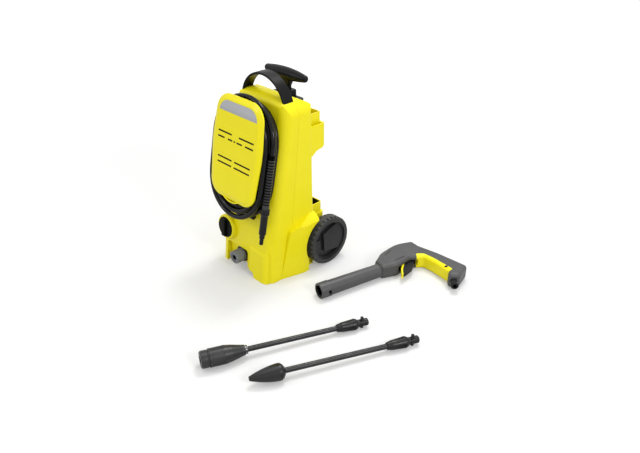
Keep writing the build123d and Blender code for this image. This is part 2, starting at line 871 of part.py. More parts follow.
def water_inlet():
    """Grey inlet coupling: round body, flange behind the bay's wall and spigot inside."""
    back_y = bay_floor_y + bay_wall
    body = suction_rod(inlet_radius, inlet_face_y, back_y)
    body = fillet(body.edges().sort_by(Axis.Y)[0], inlet_edge_radius)
    body = body + suction_rod(inlet_ring_radius, back_y, back_y + bay_wall)
    body = body + suction_rod(pipe_radius + filter_wall, back_y, inlet_inner_y)
    recess = suction_rod(inlet_recess_radius, inlet_face_y - 1, inlet_face_y + inlet_recess_depth)
    bore = suction_rod(inlet_bore, inlet_face_y - 1, filter_front_y)
    chamber = suction_rod(filter_radius + seat_gap, filter_front_y - 1, filter_rear_y)
    duct = suction_rod(pipe_radius - pipe_wall, filter_front_y, inlet_inner_y + 1)
    return body - recess - bore - chamber - duct


def inlet_ring():
    """Black ring round the inlet, on the bay's wall."""
    ring = suction_rod(inlet_ring_radius, bay_floor_y - inlet_ring_length, bay_floor_y)
    return ring - suction_rod(inlet_radius + seat_gap, inlet_face_y, bay_floor_y + 1)


def inlet_filter():
    """Cup-shaped sieve behind the inlet's bore."""
    sieve = suction_rod(filter_radius, filter_rear_y - filter_wall, filter_rear_y)
    sieve = sieve + suction_rod(filter_radius - filter_wall / 2, filter_front_y + filter_wall, filter_rear_y)
    room_y = filter_front_y + 2 * filter_wall
    return sieve - suction_rod(filter_radius - filter_wall, room_y, filter_rear_y + 1)


def suction_pipe():
    """Pipe from the inlet to the pump."""
    pipe = suction_rod(pipe_radius, inlet_inner_y, motor_y - pipe_sink)
    return pipe - suction_rod(pipe_radius - pipe_wall, inlet_inner_y - 1, motor_y)


def pressure_port():
    """Axis of the pump's pressure port, pointing at the front."""
    return Plane(origin=(outlet_centre()[0], motor_y - 44, port_z), z_dir=(0, 1, 0))


def pressure_pipe():
    """Pipe from the pump's pressure port up to the outlet on the front wall."""
    across, up = outlet_centre()
    end = wall_point(across, up, -18)
    bend = wall_point(across, up, -34)
    start = pressure_port().origin
    route = FilletPolyline(
        (start.X, start.Y + 14, port_z),
        (start.X, bend.Y, port_z),
        (bend.X, bend.Y, bend.Z),
        (end.X, end.Y, end.Z),
        radius=9,
    )
    return sweep(Plane(origin=route @ 0, z_dir=route % 0) * Circle(pipe_radius - 1.05), path=route)


def pressure_outlet():
    """Elbow on the front wall that the hose starts from."""
    across, up = outlet_centre()
    out = hose_stand_off + hose_od / 2
    along = Plane(origin=wall_point(across, up, out), x_dir=(0, 1, 0), z_dir=(1, 0, 0))
    elbow = rod(along, outlet_radius - 1.5, -outlet_length / 2, outlet_length / 2)
    stub = front_wall * Pos(across, up, (out - 18) / 2) * Cylinder(outlet_radius - 2.5, out + 18)
    return elbow + stub


def hose_layer(layer):
    """How far the middle of a hose layer stands out from the wall."""
    return hose_stand_off + hose_od / 2 + layer * layer_step


def hose_runs():
    """The hose's upright runs in order, each as (across, out), left and right by turns."""
    runs = []
    for layer in range(layer_count):
        for turn in range(runs_per_layer):
            drawn_in = turn if layer % 2 == 0 else runs_per_layer - 1 - turn
            side = -1 if turn % 2 == 0 else 1
            runs.append((side * (widest_run - drawn_in * half_step), hose_layer(layer)))
    runs.append((-(widest_run + half_step), hose_layer(layer_count - 1)))
    runs.append((tail_across, tail_out))
    return runs


def half_turn(start, end, rise):
    """A half circle between the ends of two runs, over the top or under the bottom."""
    middle = (start + end) * 0.5
    reach = (end - start).length / 2
    top = middle + front_wall.y_dir * reach * rise
    return ThreePointArc(start, top, end)


def hose_path():
    """The hose's middle line: out of the outlet, round the drum in layers, and down to its plug."""
    runs = hose_runs()
    first_up = loop_bottom - first_drop
    exit_up = first_up - widest_run
    out = hose_layer(0)
    leave = Line(wall_point(hose_od, exit_up, out), wall_point(0, exit_up, out))
    corner = widest_run * math.sqrt(0.5)
    bend = ThreePointArc(
        wall_point(0, exit_up, out),
        wall_point(-corner, first_up - corner, out),
        wall_point(-widest_run, first_up, out),
    )
    edges = [leave.edge(), bend.edge()]
    start = wall_point(-widest_run, first_up, out)
    for index, (across, out) in enumerate(runs[:-1]):
        rising = index % 2 == 0
        last = index == len(runs) - 2
        level = (loop_top + (last_rise if last else 0)) if rising else loop_bottom
        end = wall_point(across, level, out)
        following = wall_point(runs[index + 1][0], level, runs[index + 1][1])
        edges.append(Line(start, end).edge())
        edges.append(half_turn(end, following, 1 if rising else -1).edge())
        start = following
    edges.append(Line(start, wall_point(tail_across, relief_top, tail_out)).edge())
    return edges


def hose_coil():
    """The whole hose, one unbroken tube, with its length, volume and least gap printed."""
    edges = hose_path()
    path = Wire(edges)
    hose = sweep(Plane(origin=path @ 0, z_dir=path % 0) * Circle(hose_od / 2), path=path)
    length = sum(edge.length for edge in edges)
    ideal = length * math.pi * hose_od**2 / 4
    print(f"hose length {length:.0f} mm, volume {hose.volume / ideal:.4f} of section times length")
    print(f"hose least gap to itself {least_gap(edges):.2f} mm")
    return hose


def least_gap(edges):
    """Least clear distance between points of the hose that lie apart along it."""
    points = []
    for edge in edges:
        count = max(2, int(edge.length / 4))
        points.extend(edge.position_at(step / count) for step in range(count))
    skip = int(3 * hose_od / 4)
    least = 1000.0
    for index, point in enumerate(points):
        for other in points[index + skip:]:
            near = abs(point.X - other.X) < 2 * hose_od and abs(point.Z - other.Z) < 2 * hose_od
            if near:
                least = min(least, (point - other).length)
    return least - hose_od


def drum_face(half):
    """Oblong outline of the hose drum."""
    height = loop_top - loop_bottom
    return Pos(0, (loop_top + loop_bottom) / 2) * SlotOverall(height + 2 * half, 2 * half, rotation=90)


def hose_drum(cover):
    """Hollow oblong neck that the hose is wound on, between the front wall and the cover."""
    reach = cover_front_out - cover_wall
    drum = extrude(front_wall * drum_face(drum_half_width), reach)
    room = extrude(front_wall.offset(drum_wall) * drum_face(drum_half_width - drum_wall), reach)
    return drum - room - cover


def cover_outline(inset):
    """Outline of the front cover, drawn in by inset."""
    points = [
        (cover_half_top - inset, cover_top - inset),
        (cover_half_waist - inset, cover_waist),
        (cover_half_bottom - inset, cover_bottom + inset),
        (inset - cover_half_bottom, cover_bottom + inset),
        (inset - cover_half_waist, cover_waist),
        (inset - cover_half_top, cover_top - inset),
    ]
    top = cover_top_radius - inset
    low = cover_bottom_radius - inset
    return face_of(points, [top, cover_waist_radius, low, low, cover_waist_radius, top])


def cover_form(inset):
    """The cover's pillow form: a lip, then sloping sides up to the front, and a chin that leans back."""
    lip_out = cover_back_out + cover_lip
    lip = extrude(front_wall.offset(cover_back_out - inset) * cover_outline(inset), cover_lip + inset)
    front = front_wall.offset(cover_front_out - inset) * cover_outline(cover_slope + inset)
    pillow = lip + loft([front_wall.offset(lip_out) * cover_outline(inset), front], ruled=True)
    out_axis = Axis(front_wall.origin, front_wall.z_dir)
    levels = pillow.edges().group_by(out_axis)
    if not inset:
        pillow = fillet(levels[-1], cover_front_radius)
    chin = [
        (cover_front_out - inset, chin_top),
        (cover_front_out - inset - chin_drop, cover_bottom - 6),
        (cover_front_out + 20, cover_bottom - 6),
        (cover_front_out + 20, chin_top),
    ]
    side = Plane(origin=front_wall.from_local_coords((-120, 0, 0)), x_dir=front_wall.z_dir, z_dir=(1, 0, 0))
    return pillow - extrude(side * make_face(Polyline(*chin, close=True)), 240)


def front_cover():
    """Shield-shaped cover of the reel: hollow behind, with bands, slots and the badge's recess."""
    cover = cover_form(0) - cover_form(cover_wall)
    face_out = front_wall.offset(cover_front_out)
    for high, low in band_edges:
        band = face_of(band_points(high, low), band_radius)
        cover = cover - extrude(face_out * band, -panel_depth)
    for up, dashes in slot_rows.items():
        for left, right in dashes:
            dash = Pos((left + right) / 2, up) * SlotOverall(right - left, slot_height)
            cover = cover - extrude(face_out * dash, -3 * cover_wall)
    return cover - extrude(face_out * badge_face(0), -badge_thickness)


def band_points(high, low):
    """Corners of a shallow band across the cover's panel."""
    half = cover_half_waist - panel_inset
    return [(half, high), (half, low), (-half, low), (-half, high)]


def badge_face(gap):
    """Crescent at the cover's top, less a gap all round."""
    low = badge_low + gap
    window = Pos(0, (low + cover_top) / 2) * Rectangle(3 * cover_half_waist, cover_top - low)
    return cover_outline(badge_inset + gap) & window


def badge_plate():
    """Bare silver plate in the cover's recess."""
    return extrude(front_wall.offset(cover_front_out) * badge_face(seat_gap), -badge_thickness)


def tail_axis(up):
    """Axis down the hose's end, starting at a height up the wall."""
    return Plane(origin=wall_point(tail_across, up, tail_out), x_dir=(1, 0, 0), z_dir=front_wall.y_dir * -1)


def strain_relief():
    """Ribbed bend protector on the hose's end."""
    pitch = (relief_length - 2 * relief_cuff) / relief_ribs
    points = [(0, 0), (relief_tip_radius, 0), (relief_tip_radius, relief_cuff)]
    for rib in range(relief_ribs):
        start = relief_cuff + rib * pitch
        core = relief_radius - relief_rib_depth
        middle = start + pitch / 2
        points += [(core, start), (core, middle), (relief_radius, middle), (relief_radius, start + pitch)]
    points += [(relief_radius, relief_length), (0, relief_length)]
    return turned(tail_axis(relief_top), points)


def hose_plug():
    """Collar, body and stepped tip that plug into the gun."""
    step = plug_tip_length / 3
    points = [
        (0, 0),
        (collar_radius - 1.5, 0),
        (collar_radius, 1.5),
        (collar_radius, collar_length - 3),
        (collar_radius - 2, collar_length),
        (plug_radius, collar_length),
        (plug_radius, collar_length + plug_length - 2),
        (plug_radius - 1.5, collar_length + plug_length),
        (plug_tip_radius + 1.8, collar_length + plug_length),
        (plug_tip_radius + 1.8, collar_length + plug_length + step),
        (plug_tip_radius, collar_length + plug_length + step),
        (plug_tip_radius, collar_length + plug_length + plug_tip_length - 1.5),
        (plug_tip_radius - 1.5, collar_length + plug_length + plug_tip_length),
        (0, collar_length + plug_length + plug_tip_length),
    ]
    return turned(tail_axis(relief_top - relief_length), points)


def carry_handle():
    """Arched strap over the dome."""
    arch = []
    for drop in (0, strap_thickness):
        span = strap_half_span - drop
        arch.append(make_face([
            ThreePointArc((-span, strap_foot_z), (0, strap_top_z - drop), (span, strap_foot_z)),
            Line((span, strap_foot_z), (-span, strap_foot_z)),
        ]))
    width = strap_rear_y - strap_front_y
    strap = extrude(Plane.XZ.offset(-strap_rear_y) * (arch[0] - arch[1]), width)
    long_edges = strap.edges().filter_by(GeomType.CIRCLE)
    return fillet(long_edges, strap_corner) - body_form(0)


def handle_stem():
    """Stem of the pull-out handle."""
    return sleeve_block(0, stem_low_z, neck_low_z)


def handle_grip():
    """T-shaped grip, thick in the middle, with the flared neck below it."""
    tip = grip_half_length - grip_tip_radius
    corner = grip_tip_radius * math.sqrt(0.5)
    outline = make_face([
        ThreePointArc((-tip, grip_tip_radius), (0, grip_mid_radius), (tip, grip_tip_radius)),
        ThreePointArc((tip, grip_tip_radius), (tip + corner, corner), (grip_half_length, 0)),
        Line((grip_half_length, 0), (-grip_half_length, 0)),
        ThreePointArc((-grip_half_length, 0), (-tip - corner, corner), (-tip, grip_tip_radius)),
    ])
    bar = Pos(0, stem_y, grip_axis_z) * revolve(outline, Axis.X, 360)
    low = Pos(0, stem_y, neck_low_z) * RectangleRounded(stem_width, stem_depth, stem_corner)
    high = Pos(0, stem_y, grip_axis_z) * RectangleRounded(neck_width, neck_depth, stem_corner)
    return bar + loft([low, high], ruled=True)


def handle_guide():
    """Black flange, collar and sleeve that the stem slides in."""
    guide = sleeve_block(guide_sleeve_wall, guide_sleeve_low_z, guide_flange_z + 1)
    place = Pos(0, stem_y, guide_flange_z)
    flange_face = RectangleRounded(2 * guide_flange_half_width, guide_flange_depth, guide_corner)
    flange = place * extrude(flange_face, guide_flange_thickness)
    collar_face = RectangleRounded(2 * guide_collar_half_width, guide_collar_depth, guide_corner)
    collar = place * extrude(collar_face, guide_collar_top_z - guide_flange_z)
    collar = fillet(collar.edges().group_by(Axis.Z)[-1], guide_corner / 2)
    return guide + flange + collar - sleeve_block(stem_fit, guide_sleeve_low_z - cut_over, 2 * dome_z)


def storage_liner():
    """Black liner of the storage cup."""
    gap = holder_wall + seat_gap
    floor_z = cup_floor_z + seat_gap
    liner = cup_room(gap, floor_z) - cup_room(gap + liner_wall, floor_z + liner_wall)
    half = 2 * cup_half_width
    return liner & block((-half, half), (0, 2 * cup_rear_y), (0, cup_rim_z - liner_drop))


def cable_gland():
    """Gland of the mains lead in the back wall."""
    axis = Plane(origin=(gland_x, housing_rear_y, gland_z), z_dir=(0, 1, 0))
    gland = rod(axis, gland_radius - seat_gap, -gland_sink, 0)
    gland = gland + rod(axis, gland_radius + gland_step, 0, gland_flange)
    gland = gland + rod(axis, gland_radius - gland_step, gland_flange, gland_length)
    return gland - rod(axis, gland_bore, -2 * gland_sink, 2 * gland_length)


def case_screws():
    """Heads of the screws that hold the rear shell, one solid each."""
    heads = []
    for x in (-1, 1):
        for z in screw_heights:
            axis = Plane(origin=(x * screw_across, rear_y, z), z_dir=(0, 1, 0))
            recess = rod(axis, screw_radius / 3, screw_head / 2, screw_head + 1)
            heads.append(rod(axis, screw_radius, 0, screw_head) - recess)
    return heads


def switch_axis():
    """Axis of the rotary switch, pointing out of the lower front wall."""
    return lower_wall * Pos(switch_across, switch_up, 0)


def switch_knob():
    """Round switch knob with a raised bar to turn it by, and its shaft."""
    low = boss_out - knob_well + knob_gap
    knob = Pos(0, 0, low + knob_thickness / 2) * Cylinder(knob_radius, knob_thickness)
    knob = fillet(knob.edges().group_by(Axis.Z)[-1], knob_edge_radius)
    bar = Box(knob_bar_width, knob_bar_length, 2 * knob_bar_rise)
    bar = Pos(0, 0, low + knob_thickness) * fillet(bar.edges().group_by(Axis.Z)[-1], knob_edge_radius)
    shaft = Pos(0, 0, low - knob_shaft_length / 2 + 1) * Cylinder(knob_shaft_radius, knob_shaft_length + 2)
    return switch_axis() * (knob + bar + shaft)


def switch_box():
    """Electric switch behind the boss."""
    high = -shell_wall - switch_box_gap
    box = Pos(0, 0, high - switch_box_depth / 2) * Box(switch_box_size, switch_box_size, switch_box_depth)
    return switch_axis() * (box - Cylinder(knob_shaft_radius + shaft_fit, 4 * switch_box_depth))


def wheel_axis():
    """Axis of the wheels, with its normal along +X."""
    return Plane(origin=(0, wheel_y, wheel_radius), x_dir=(0, 1, 0), z_dir=(1, 0, 0))


def wheel_tyre():
    """Tyre of the +X wheel, with lugs along both shoulders."""
    inner_x = wheel_outer_x - wheel_width
    hub_radius = wheel_radius - tyre_depth
    tyre = rod(wheel_axis(), wheel_radius, inner_x, wheel_outer_x)
    tyre = fillet(tyre.edges().filter_by(GeomType.CIRCLE), tyre_edge_radius)
    notch = Rectangle(2 * lug_depth, lug_gap)
    notches = Sketch() + [loc * notch for loc in PolarLocations(wheel_radius, lug_count)]
    half_pitch = Rot(0, 0, 180 / lug_count)
    outer = extrude(wheel_axis().offset(wheel_outer_x - lug_length) * notches, lug_length + 1)
    inner = extrude(wheel_axis().offset(inner_x - 1) * half_pitch * notches, lug_length + 1)
    return tyre - outer - inner - rod(wheel_axis(), hub_radius, inner_x - 1, wheel_outer_x + 1)


def rim_inner_radius():
    """Radius inside the hub's rim."""
    return wheel_radius - tyre_depth - seat_gap / 4 - hub_rim


def wheel_hub():
    """Dished hub of the +X wheel with a rim, a web with one raised pad, and a bearing boss."""
    axis = wheel_axis()
    inner_x = wheel_outer_x - wheel_width
    inner_radius = rim_inner_radius()
    face_x = wheel_outer_x - hub_face_drop
    web_x = face_x - cap_rise
    hub = rod(axis, inner_radius + hub_rim, inner_x + hub_back_drop, face_x)
    hub = hub - rod(axis, inner_radius, inner_x, wheel_outer_x)
    hub = hub + rod(axis, inner_radius + hub_rim / 2, web_x - hub_web, web_x)
    hub = hub + rod(axis, 2 * axle_radius, inner_x, web_x)
    pad_middle = inner_radius - hub_pad_gap - hub_pad_length / 2
    pad = Rot(0, 0, hub_pad_turn) * Pos(pad_middle, 0) * Rectangle(hub_pad_length, hub_pad_width)
    hub = hub + extrude(axis.offset(web_x) * pad, hub_pad_rise)
    return hub - rod(axis, axle_radius + axle_fit, inner_x - 1, web_x - axle_end_wall)


def wheel_cap():
    """Raised centre plate of the +X wheel: a disc with three sides cut straight."""
    radius = rim_inner_radius() - cap_gap
    face_x = wheel_outer_x - hub_face_drop
    plate = Circle(radius)
    for turn, reach in cap_cuts:
        plate = plate - Rot(0, 0, turn) * Pos(reach + radius, 0) * Rectangle(2 * radius, 4 * radius)
    cap = extrude(wheel_axis().offset(face_x - cap_rise) * plate, cap_rise + cap_proud)
    return fillet(cap.faces().sort_by(Axis.X)[-1].edges(), cap_edge_radius)


def axle():
    """Axle through the rear housing and both hubs."""
    reach = wheel_outer_x - hub_face_drop - cap_rise - 3
    return cylinder_x(axle_radius, -reach, reach, wheel_y, wheel_radius)


def gun_location():
    """Place of the gun on the floor, laid over on its side."""
    return Pos(gun_place[0], gun_place[1], gun_half_width + floor_gap) * Rot(0, 0, gun_turn) * Rot(-90, 0, 0)


def barrel_axis():
    """Axis of the barrel in the gun's own frame, with its normal from the muzzle to the handle."""
    return Plane(origin=(0, 0, 0), x_dir=(0, 1, 0), z_dir=(1, 0, 0))


def gun_slab(points, radii, half):
    """An outline of the gun's side view, carried the same way to both sides."""
    return extrude(Plane.XZ * face_of(points, radii), half, both=True)


def rounded_slab(points, radii, half, edge):
    """A gun slab with its outer edges rounded."""
    slab = gun_slab(points, radii, half)
    rims = [e for e in slab.edges() if abs(abs(e.center().Y) - half) < 0.01]
    return fillet(rims, edge)


def socket_middle():
    """Middle of the handle's end edge, where the hose socket stands."""
    return ((handle_heel[0] + handle_toe[0]) / 2, (handle_heel[1] + handle_toe[1]) / 2)


def socket_axis():
    """Axis of the hose socket, square to the handle's end edge and pointing away from it."""
    along, up = socket_middle()
    edge = (handle_heel[0] - handle_toe[0], handle_heel[1] - handle_toe[1])
    return Plane(origin=(along, 0, up), z_dir=(edge[1], 0, -edge[0]))


def handle_pipe(radius):
    """Tube through the gun's handle, from the valve to the hose socket."""
    points = [(along, 0, up) for along, up in handle_pipe_points + [socket_middle()]]
    route = FilletPolyline(*points, radius=handle_pipe_bend)
    return sweep(Plane(origin=route @ 0, z_dir=route % 0) * Circle(radius), path=route)


def trigger_pin(radius, inset):
    """The trigger's pin, short of both sides of the gun by inset."""
    along, up = trigger_pivot
    return Pos(along, 0, up) * Rot(90, 0, 0) * Cylinder(radius, 2 * (gun_half_width - inset))


def gun_body():
    """Housing and handle in one: rounded, slotted, with room for valve, pipe, trigger and lock button."""
    body = rounded_slab(gun_outline, gun_radii, gun_half_width, gun_edge_radius)
    body = body - gun_slab(trigger_space, trigger_space_radius, trigger_half_width + trigger_room)
    body = body - trigger_pin(trigger_pin_radius + pin_fit, trigger_pin_inset - pin_end_room)
    body = body - lock_prism(lock_size + 2 * gun_fit, -2 * gun_half_width, lock_floor + lock_travel + gun_fit)
    valve_end = valve_start + valve_length + gun_fit
    body = body - rod(barrel_axis(), valve_radius + seat_gap, barrel_end - 1, valve_end)
    for start, end in face_slots:
        slot = face_slot(start, end)
        body = body - slot - mirror(slot, about=Plane.XZ)
    return body - handle_pipe(gun_pipe_radius + seat_gap)


def face_slot(start, end):
    """Shallow slot in the housing's side from one point to another."""
    face = SlotCenterPoint(((start[0] + end[0]) / 2, (start[1] + end[1]) / 2), end, face_slot_width)
    return extrude(Plane.XZ.offset(gun_half_width) * face, -face_slot_depth)


def insert_region(gap):
    """The space of the yellow insert along the handle's front, grown by a gap."""
    region = gun_slab(insert_outline, insert_radii, 2 * gun_half_width)
    return offset(region, gap) if gap else region


def gun_half(body, side):
    """One half of the gun's shell, on the -Y or the +Y side of the gun's own frame."""
    middle = Plane.XZ if side < 0 else -Plane.XZ
    return split(body - insert_region(gun_fit), bisect_by=middle, keep=Keep.TOP)


def gun_barrel():
    """Tapering barrel sleeve between muzzle and housing."""
    points = [
        (barrel_bore, muzzle_length),
        (barrel_front_radius, muzzle_length),
        (barrel_rear_radius, barrel_end),
        (barrel_bore, barrel_end),
    ]
    return turned(barrel_axis(), points)


def gun_muzzle():
    """Bayonet socket at the muzzle: wide mouth, bore with two slots, and a window underneath."""
    axis = barrel_axis()
    muzzle = rod(axis, muzzle_radius, 0, muzzle_length)
    muzzle = fillet(muzzle.edges().filter_by(GeomType.CIRCLE), muzzle_edge_radius)
    muzzle = muzzle - rod(axis, mouth_radius, -1, mouth_depth) - rod(axis, socket_radius, 0, socket_depth)
    muzzle = muzzle - rod(axis, gun_pipe_radius + pipe_room, 0, 2 * muzzle_length)
    reach = plug_wing_reach + wing_slot_room
    wings = Box(2 * reach, plug_wing_width + 2 * wing_slot_room, 2 * wing_slot_depth)
    window_along = muzzle_length - window_inset - window_length / 2
    window = Pos(0, -muzzle_radius, window_along) * Box(window_width, 2 * window_depth, window_length)
    return muzzle - axis * wings - axis * window


def gun_valve():
    """Shut-off valve with its pipes to the muzzle and through the handle."""
    axis = barrel_axis()
    valve = rod(axis, valve_radius, valve_start, valve_start + valve_length)
    front_pipe = rod(axis, gun_pipe_radius, socket_depth + pipe_room, valve_start)
    return valve + front_pipe + handle_pipe(gun_pipe_radius)


def gun_grip(body):
    """Yellow grip insert along the handle's front, as deep as the handle."""
    return body & insert_region(0)


def lock_prism(size, y_low, y_high):
    """Three-sided bar across the gun at the lock button's place."""
    face = Pos(lock_button[0], lock_button[1]) * RegularPolygon(size / 1.5, 3, rotation=30)
    return extrude(Plane.XZ.offset(-y_high) * face, y_high - y_low)


def gun_lock():
    """Lock button that slides into the grip."""
    button = lock_prism(lock_size, -gun_half_width - lock_rise, lock_floor)
    return fillet(button.faces().sort_by(Axis.Y)[0].edges(), lock_edge_radius)


def gun_trigger():
    """Yellow trigger blade."""
    return rounded_slab(blade_outline, blade_radii, trigger_half_width, blade_edge_radius)


def trigger_arm():
    """Black body behind the blade, with the pin that hangs the trigger."""
    arm = gun_slab(arm_outline, arm_radii, trigger_half_width - 1)
    arm = arm - gun_slab(blade_outline, blade_radii, 2 * trigger_half_width)
    return arm + trigger_pin(trigger_pin_radius, trigger_pin_inset)


def gun_hose_socket():
    """Socket at the handle's end that the hose's plug goes into."""
    axis = socket_axis()
    socket = rod(axis, hose_socket_radius, -hose_socket_sink, hose_socket_length)
    socket = chamfer(socket.edges().filter_by(GeomType.CIRCLE), hose_socket_chamfer)
    socket = socket - gun_slab(gun_outline, gun_radii, 2 * gun_half_width)
    socket = socket - rod(axis, gun_pipe_radius - 1, 0, hose_socket_length)
    socket = socket - handle_pipe(gun_pipe_radius + seat_gap)
    bottom = hose_socket_length - hose_socket_depth
    return socket - rod(axis, hose_socket_bore, bottom, hose_socket_length + 1)


def lance_axis(place, turn, head_radius, head_along, foot_radius, foot_along):
    """Axis of a lance that lies on its head and on its ribbed grip."""
    dip = math.asin((head_radius - foot_radius) / (foot_along - head_along))
    height = (head_radius + head_along * math.sin(dip)) / math.cos(dip) + floor_gap
    spin = math.radians(turn)
    across = (-math.sin(spin), math.cos(spin), 0)
    forward = (math.cos(spin) * math.cos(dip), math.sin(spin) * math.cos(dip), -math.sin(dip))
    return Plane(origin=(place[0], place[1], height), x_dir=across, z_dir=forward)


def vario_axis():
    """Axis of the lance with the adjustable nozzle, from the nozzle's mouth."""
    foot_along = vario_tube_end + lance_grip_length - lance_grip_taper
    head_along = vario_barrel_end
    return lance_axis(vario_place, vario_turn, vario_nozzle_radius, head_along, lance_grip_radius, foot_along)


def rotor_axis():
    """Axis of the lance with the rotary nozzle, from the cone's tip."""
    head_along = rotor_cone_length - rotor_collar_length
    foot_along = rotor_tube_end + lance_grip_length - lance_grip_taper
    return lance_axis(rotor_place, rotor_turn, rotor_cone_radius, head_along, lance_grip_radius, foot_along)


def lance_tube(axis, start, end):
    """Steel tube of a lance."""
    return rod(axis, lance_tube_radius, start, end) - rod(axis, lance_tube_bore, start - 1, end + 1)


def lance_grip(axis, start):
    """Ribbed grip that swells towards the plug."""
    points = [
        (lance_tube_bore, start),
        (lance_tube_radius + lance_grip_step, start),
        (lance_grip_radius - lance_grip_step, start + lance_grip_swell),
        (lance_grip_radius, start + lance_grip_length - lance_grip_taper),
        (lance_grip_radius - lance_grip_step, start + lance_grip_length),
        (lance_tube_bore, start + lance_grip_length),
    ]
    grip = turned(axis, points)
    pitch = (lance_grip_length - lance_grip_swell - lance_grip_taper) / lance_rib_count
    for rib in range(lance_rib_count):
        along = start + lance_grip_swell + (rib + 0.5) * pitch
        for row in range(lance_rib_rows):
            groove = Pos(lance_grip_radius, 0, along) * Box(2 * lance_rib_depth, lance_rib_width, pitch / 2)
            grip = grip - axis * Rot(0, 0, 360 * row / lance_rib_rows) * groove
    return grip


def lance_plug(axis, start):
    """Bayonet plug: a stepped shaft with two wings."""
    points = [
        (lance_tube_bore, start),
        (plug_shaft_radius, start),
        (plug_shaft_radius, start + plug_groove_start),
        (plug_shaft_radius - plug_groove_depth, start + plug_groove_start),
        (plug_shaft_radius - plug_groove_depth, start + plug_groove_end),
        (plug_shaft_radius, start + plug_groove_end),
        (plug_shaft_radius, start + plug_shaft_length - plug_tip_bevel),
        (plug_shaft_radius - plug_tip_bevel, start + plug_shaft_length),
        (lance_tube_bore, start + plug_shaft_length),
    ]
    middle = Pos(0, 0, start + plug_wing_along)
    wing = middle * Box(plug_wing_width, 2 * plug_wing_reach, plug_wing_thickness)
    wing = wing - middle * Cylinder(plug_shaft_radius - 1, 2 * plug_wing_thickness)
    return turned(axis, points) + axis * wing


def vario_nozzle():
    """Twist sleeve of the adjustable nozzle, waisted towards the tube."""
    radius = vario_nozzle_radius
    length = vario_nozzle_length
    points = [
        (vario_bore_radius, vario_jet_room),
        (vario_bore_radius, 0),
        (radius - 4, 0),
        (radius - 1.5, 2.5),
        (radius - 1.5, 16),
        (radius - 2.5, 17),
        (radius - 2.5, 19),
        (radius, 20),
        (radius, vario_barrel_end),
        (radius - 3, 74),
        (radius - 9, length - 6),
        (radius - 10, length),
        (lance_tube_radius + lance_fit, length),
        (lance_tube_radius + lance_fit, vario_jet_room),
    ]
    nozzle = turned(vario_axis(), points)
    low, high = vario_pad_span
    pad = Pos(radius, 0, (low + high) / 2) * Box(2 * vario_pad_depth, vario_pad_width, high - low)
    for place in range(vario_pad_count):
        nozzle = nozzle - vario_axis() * Rot(0, 0, 360 * place / vario_pad_count) * pad
    return nozzle


def vario_jet():
    """Jet piece inside the adjustable nozzle, on the tube's end."""
    axis = vario_axis()
    jet = rod(axis, vario_bore_radius - lance_fit, vario_jet_front, vario_jet_rear)
    jet = jet + rod(axis, lance_tube_radius, vario_jet_rear, vario_tube_start)
    return jet - rod(axis, vario_jet_bore, 0, 2 * vario_tube_start)


def vario_ring():
    """Bright ring between the nozzle and the tube."""
    axis = vario_axis()
    end = vario_nozzle_length + vario_ring_length
    ring = rod(axis, vario_ring_radius, vario_nozzle_length + lance_fit, end)
    return ring - rod(axis, lance_tube_radius, 0, 2 * end)


def rotor_cone():
    """Cone of the rotary nozzle."""
    base = rotor_cone_length - rotor_collar_length
    mouth = rotor_tip_radius - rotor_tip_wall
    flank = (rotor_cone_radius * rotor_flank[0], base * rotor_flank[1])
    outline = make_face([
        Polyline((mouth, rotor_tube_start), (mouth, 0), (rotor_tip_radius, 0)),
        ThreePointArc((rotor_tip_radius, 0), flank, (rotor_cone_radius, base)),
        Polyline((rotor_cone_radius, base), (lance_tube_radius, base), (lance_tube_radius, rotor_tube_start)),
        Line((lance_tube_radius, rotor_tube_start), (mouth, rotor_tube_start)),
    ])
    return rotor_axis() * revolve(Plane.XZ * outline, Axis.Z, 360)


def rotor_collar():
    """Ring behind the cone."""
    base = rotor_cone_length - rotor_collar_length
    points = [
        (lance_tube_radius, base),
        (rotor_cone_radius - 0.6, base),
        (rotor_cone_radius - 0.6, base + 4),
        (rotor_cone_radius - 4, rotor_cone_length),
        (lance_tube_radius + 3, rotor_cone_length + 5),
        (lance_tube_radius, rotor_cone_length + 5),
    ]
    return turned(rotor_axis(), points)


def mirrored(part):
    """The same piece on the -X side."""
    return mirror(part, about=Plane.YZ)


def machine_nodes():
    """Pieces of the machine by name."""
    tyre = wheel_tyre()
    hub = wheel_hub()
    cap = wheel_cap()
    cover = front_cover()
    return {
        "front_shell": front_shell(),
        "rear_shell": rear_shell(),
        "base_tray": base_tray(),
        "front_cover": cover,
        "badge_plate": badge_plate(),
        "hose_drum": hose_drum(cover),
        "carry_handle": carry_handle(),
        "handle_guide": handle_guide(),
        "handle_grip": handle_grip(),
        "handle_stem": handle_stem(),
        "storage_liner": storage_liner(),
        "cable_gland": cable_gland(),
        "case_screws": case_screws(),
        "switch_knob": switch_knob(),
        "switch_box": switch_box(),
        "water_inlet": water_inlet(),
        "inlet_ring": inlet_ring(),
        "inlet_filter": inlet_filter(),
        "suction_pipe": suction_pipe(),
        "pressure_pipe": pressure_pipe(),
        "pressure_outlet": pressure_outlet(),
        "motor_can": motor_can(),
        "motor_rotor": motor_rotor(),
        "pump_head": pump_head(),
        "pistons": pistons(),
        "axle": axle(),
        "right_tyre": tyre,
        "right_hub": hub,
        "right_hub_plate": cap,
        "left_tyre": mirrored(tyre),
        "left_hub": mirrored(hub),
        "left_hub_plate": mirrored(cap),
        "hose_coil": hose_coil(),
        "hose_strain_relief": strain_relief(),
        "hose_plug": hose_plug(),
    }


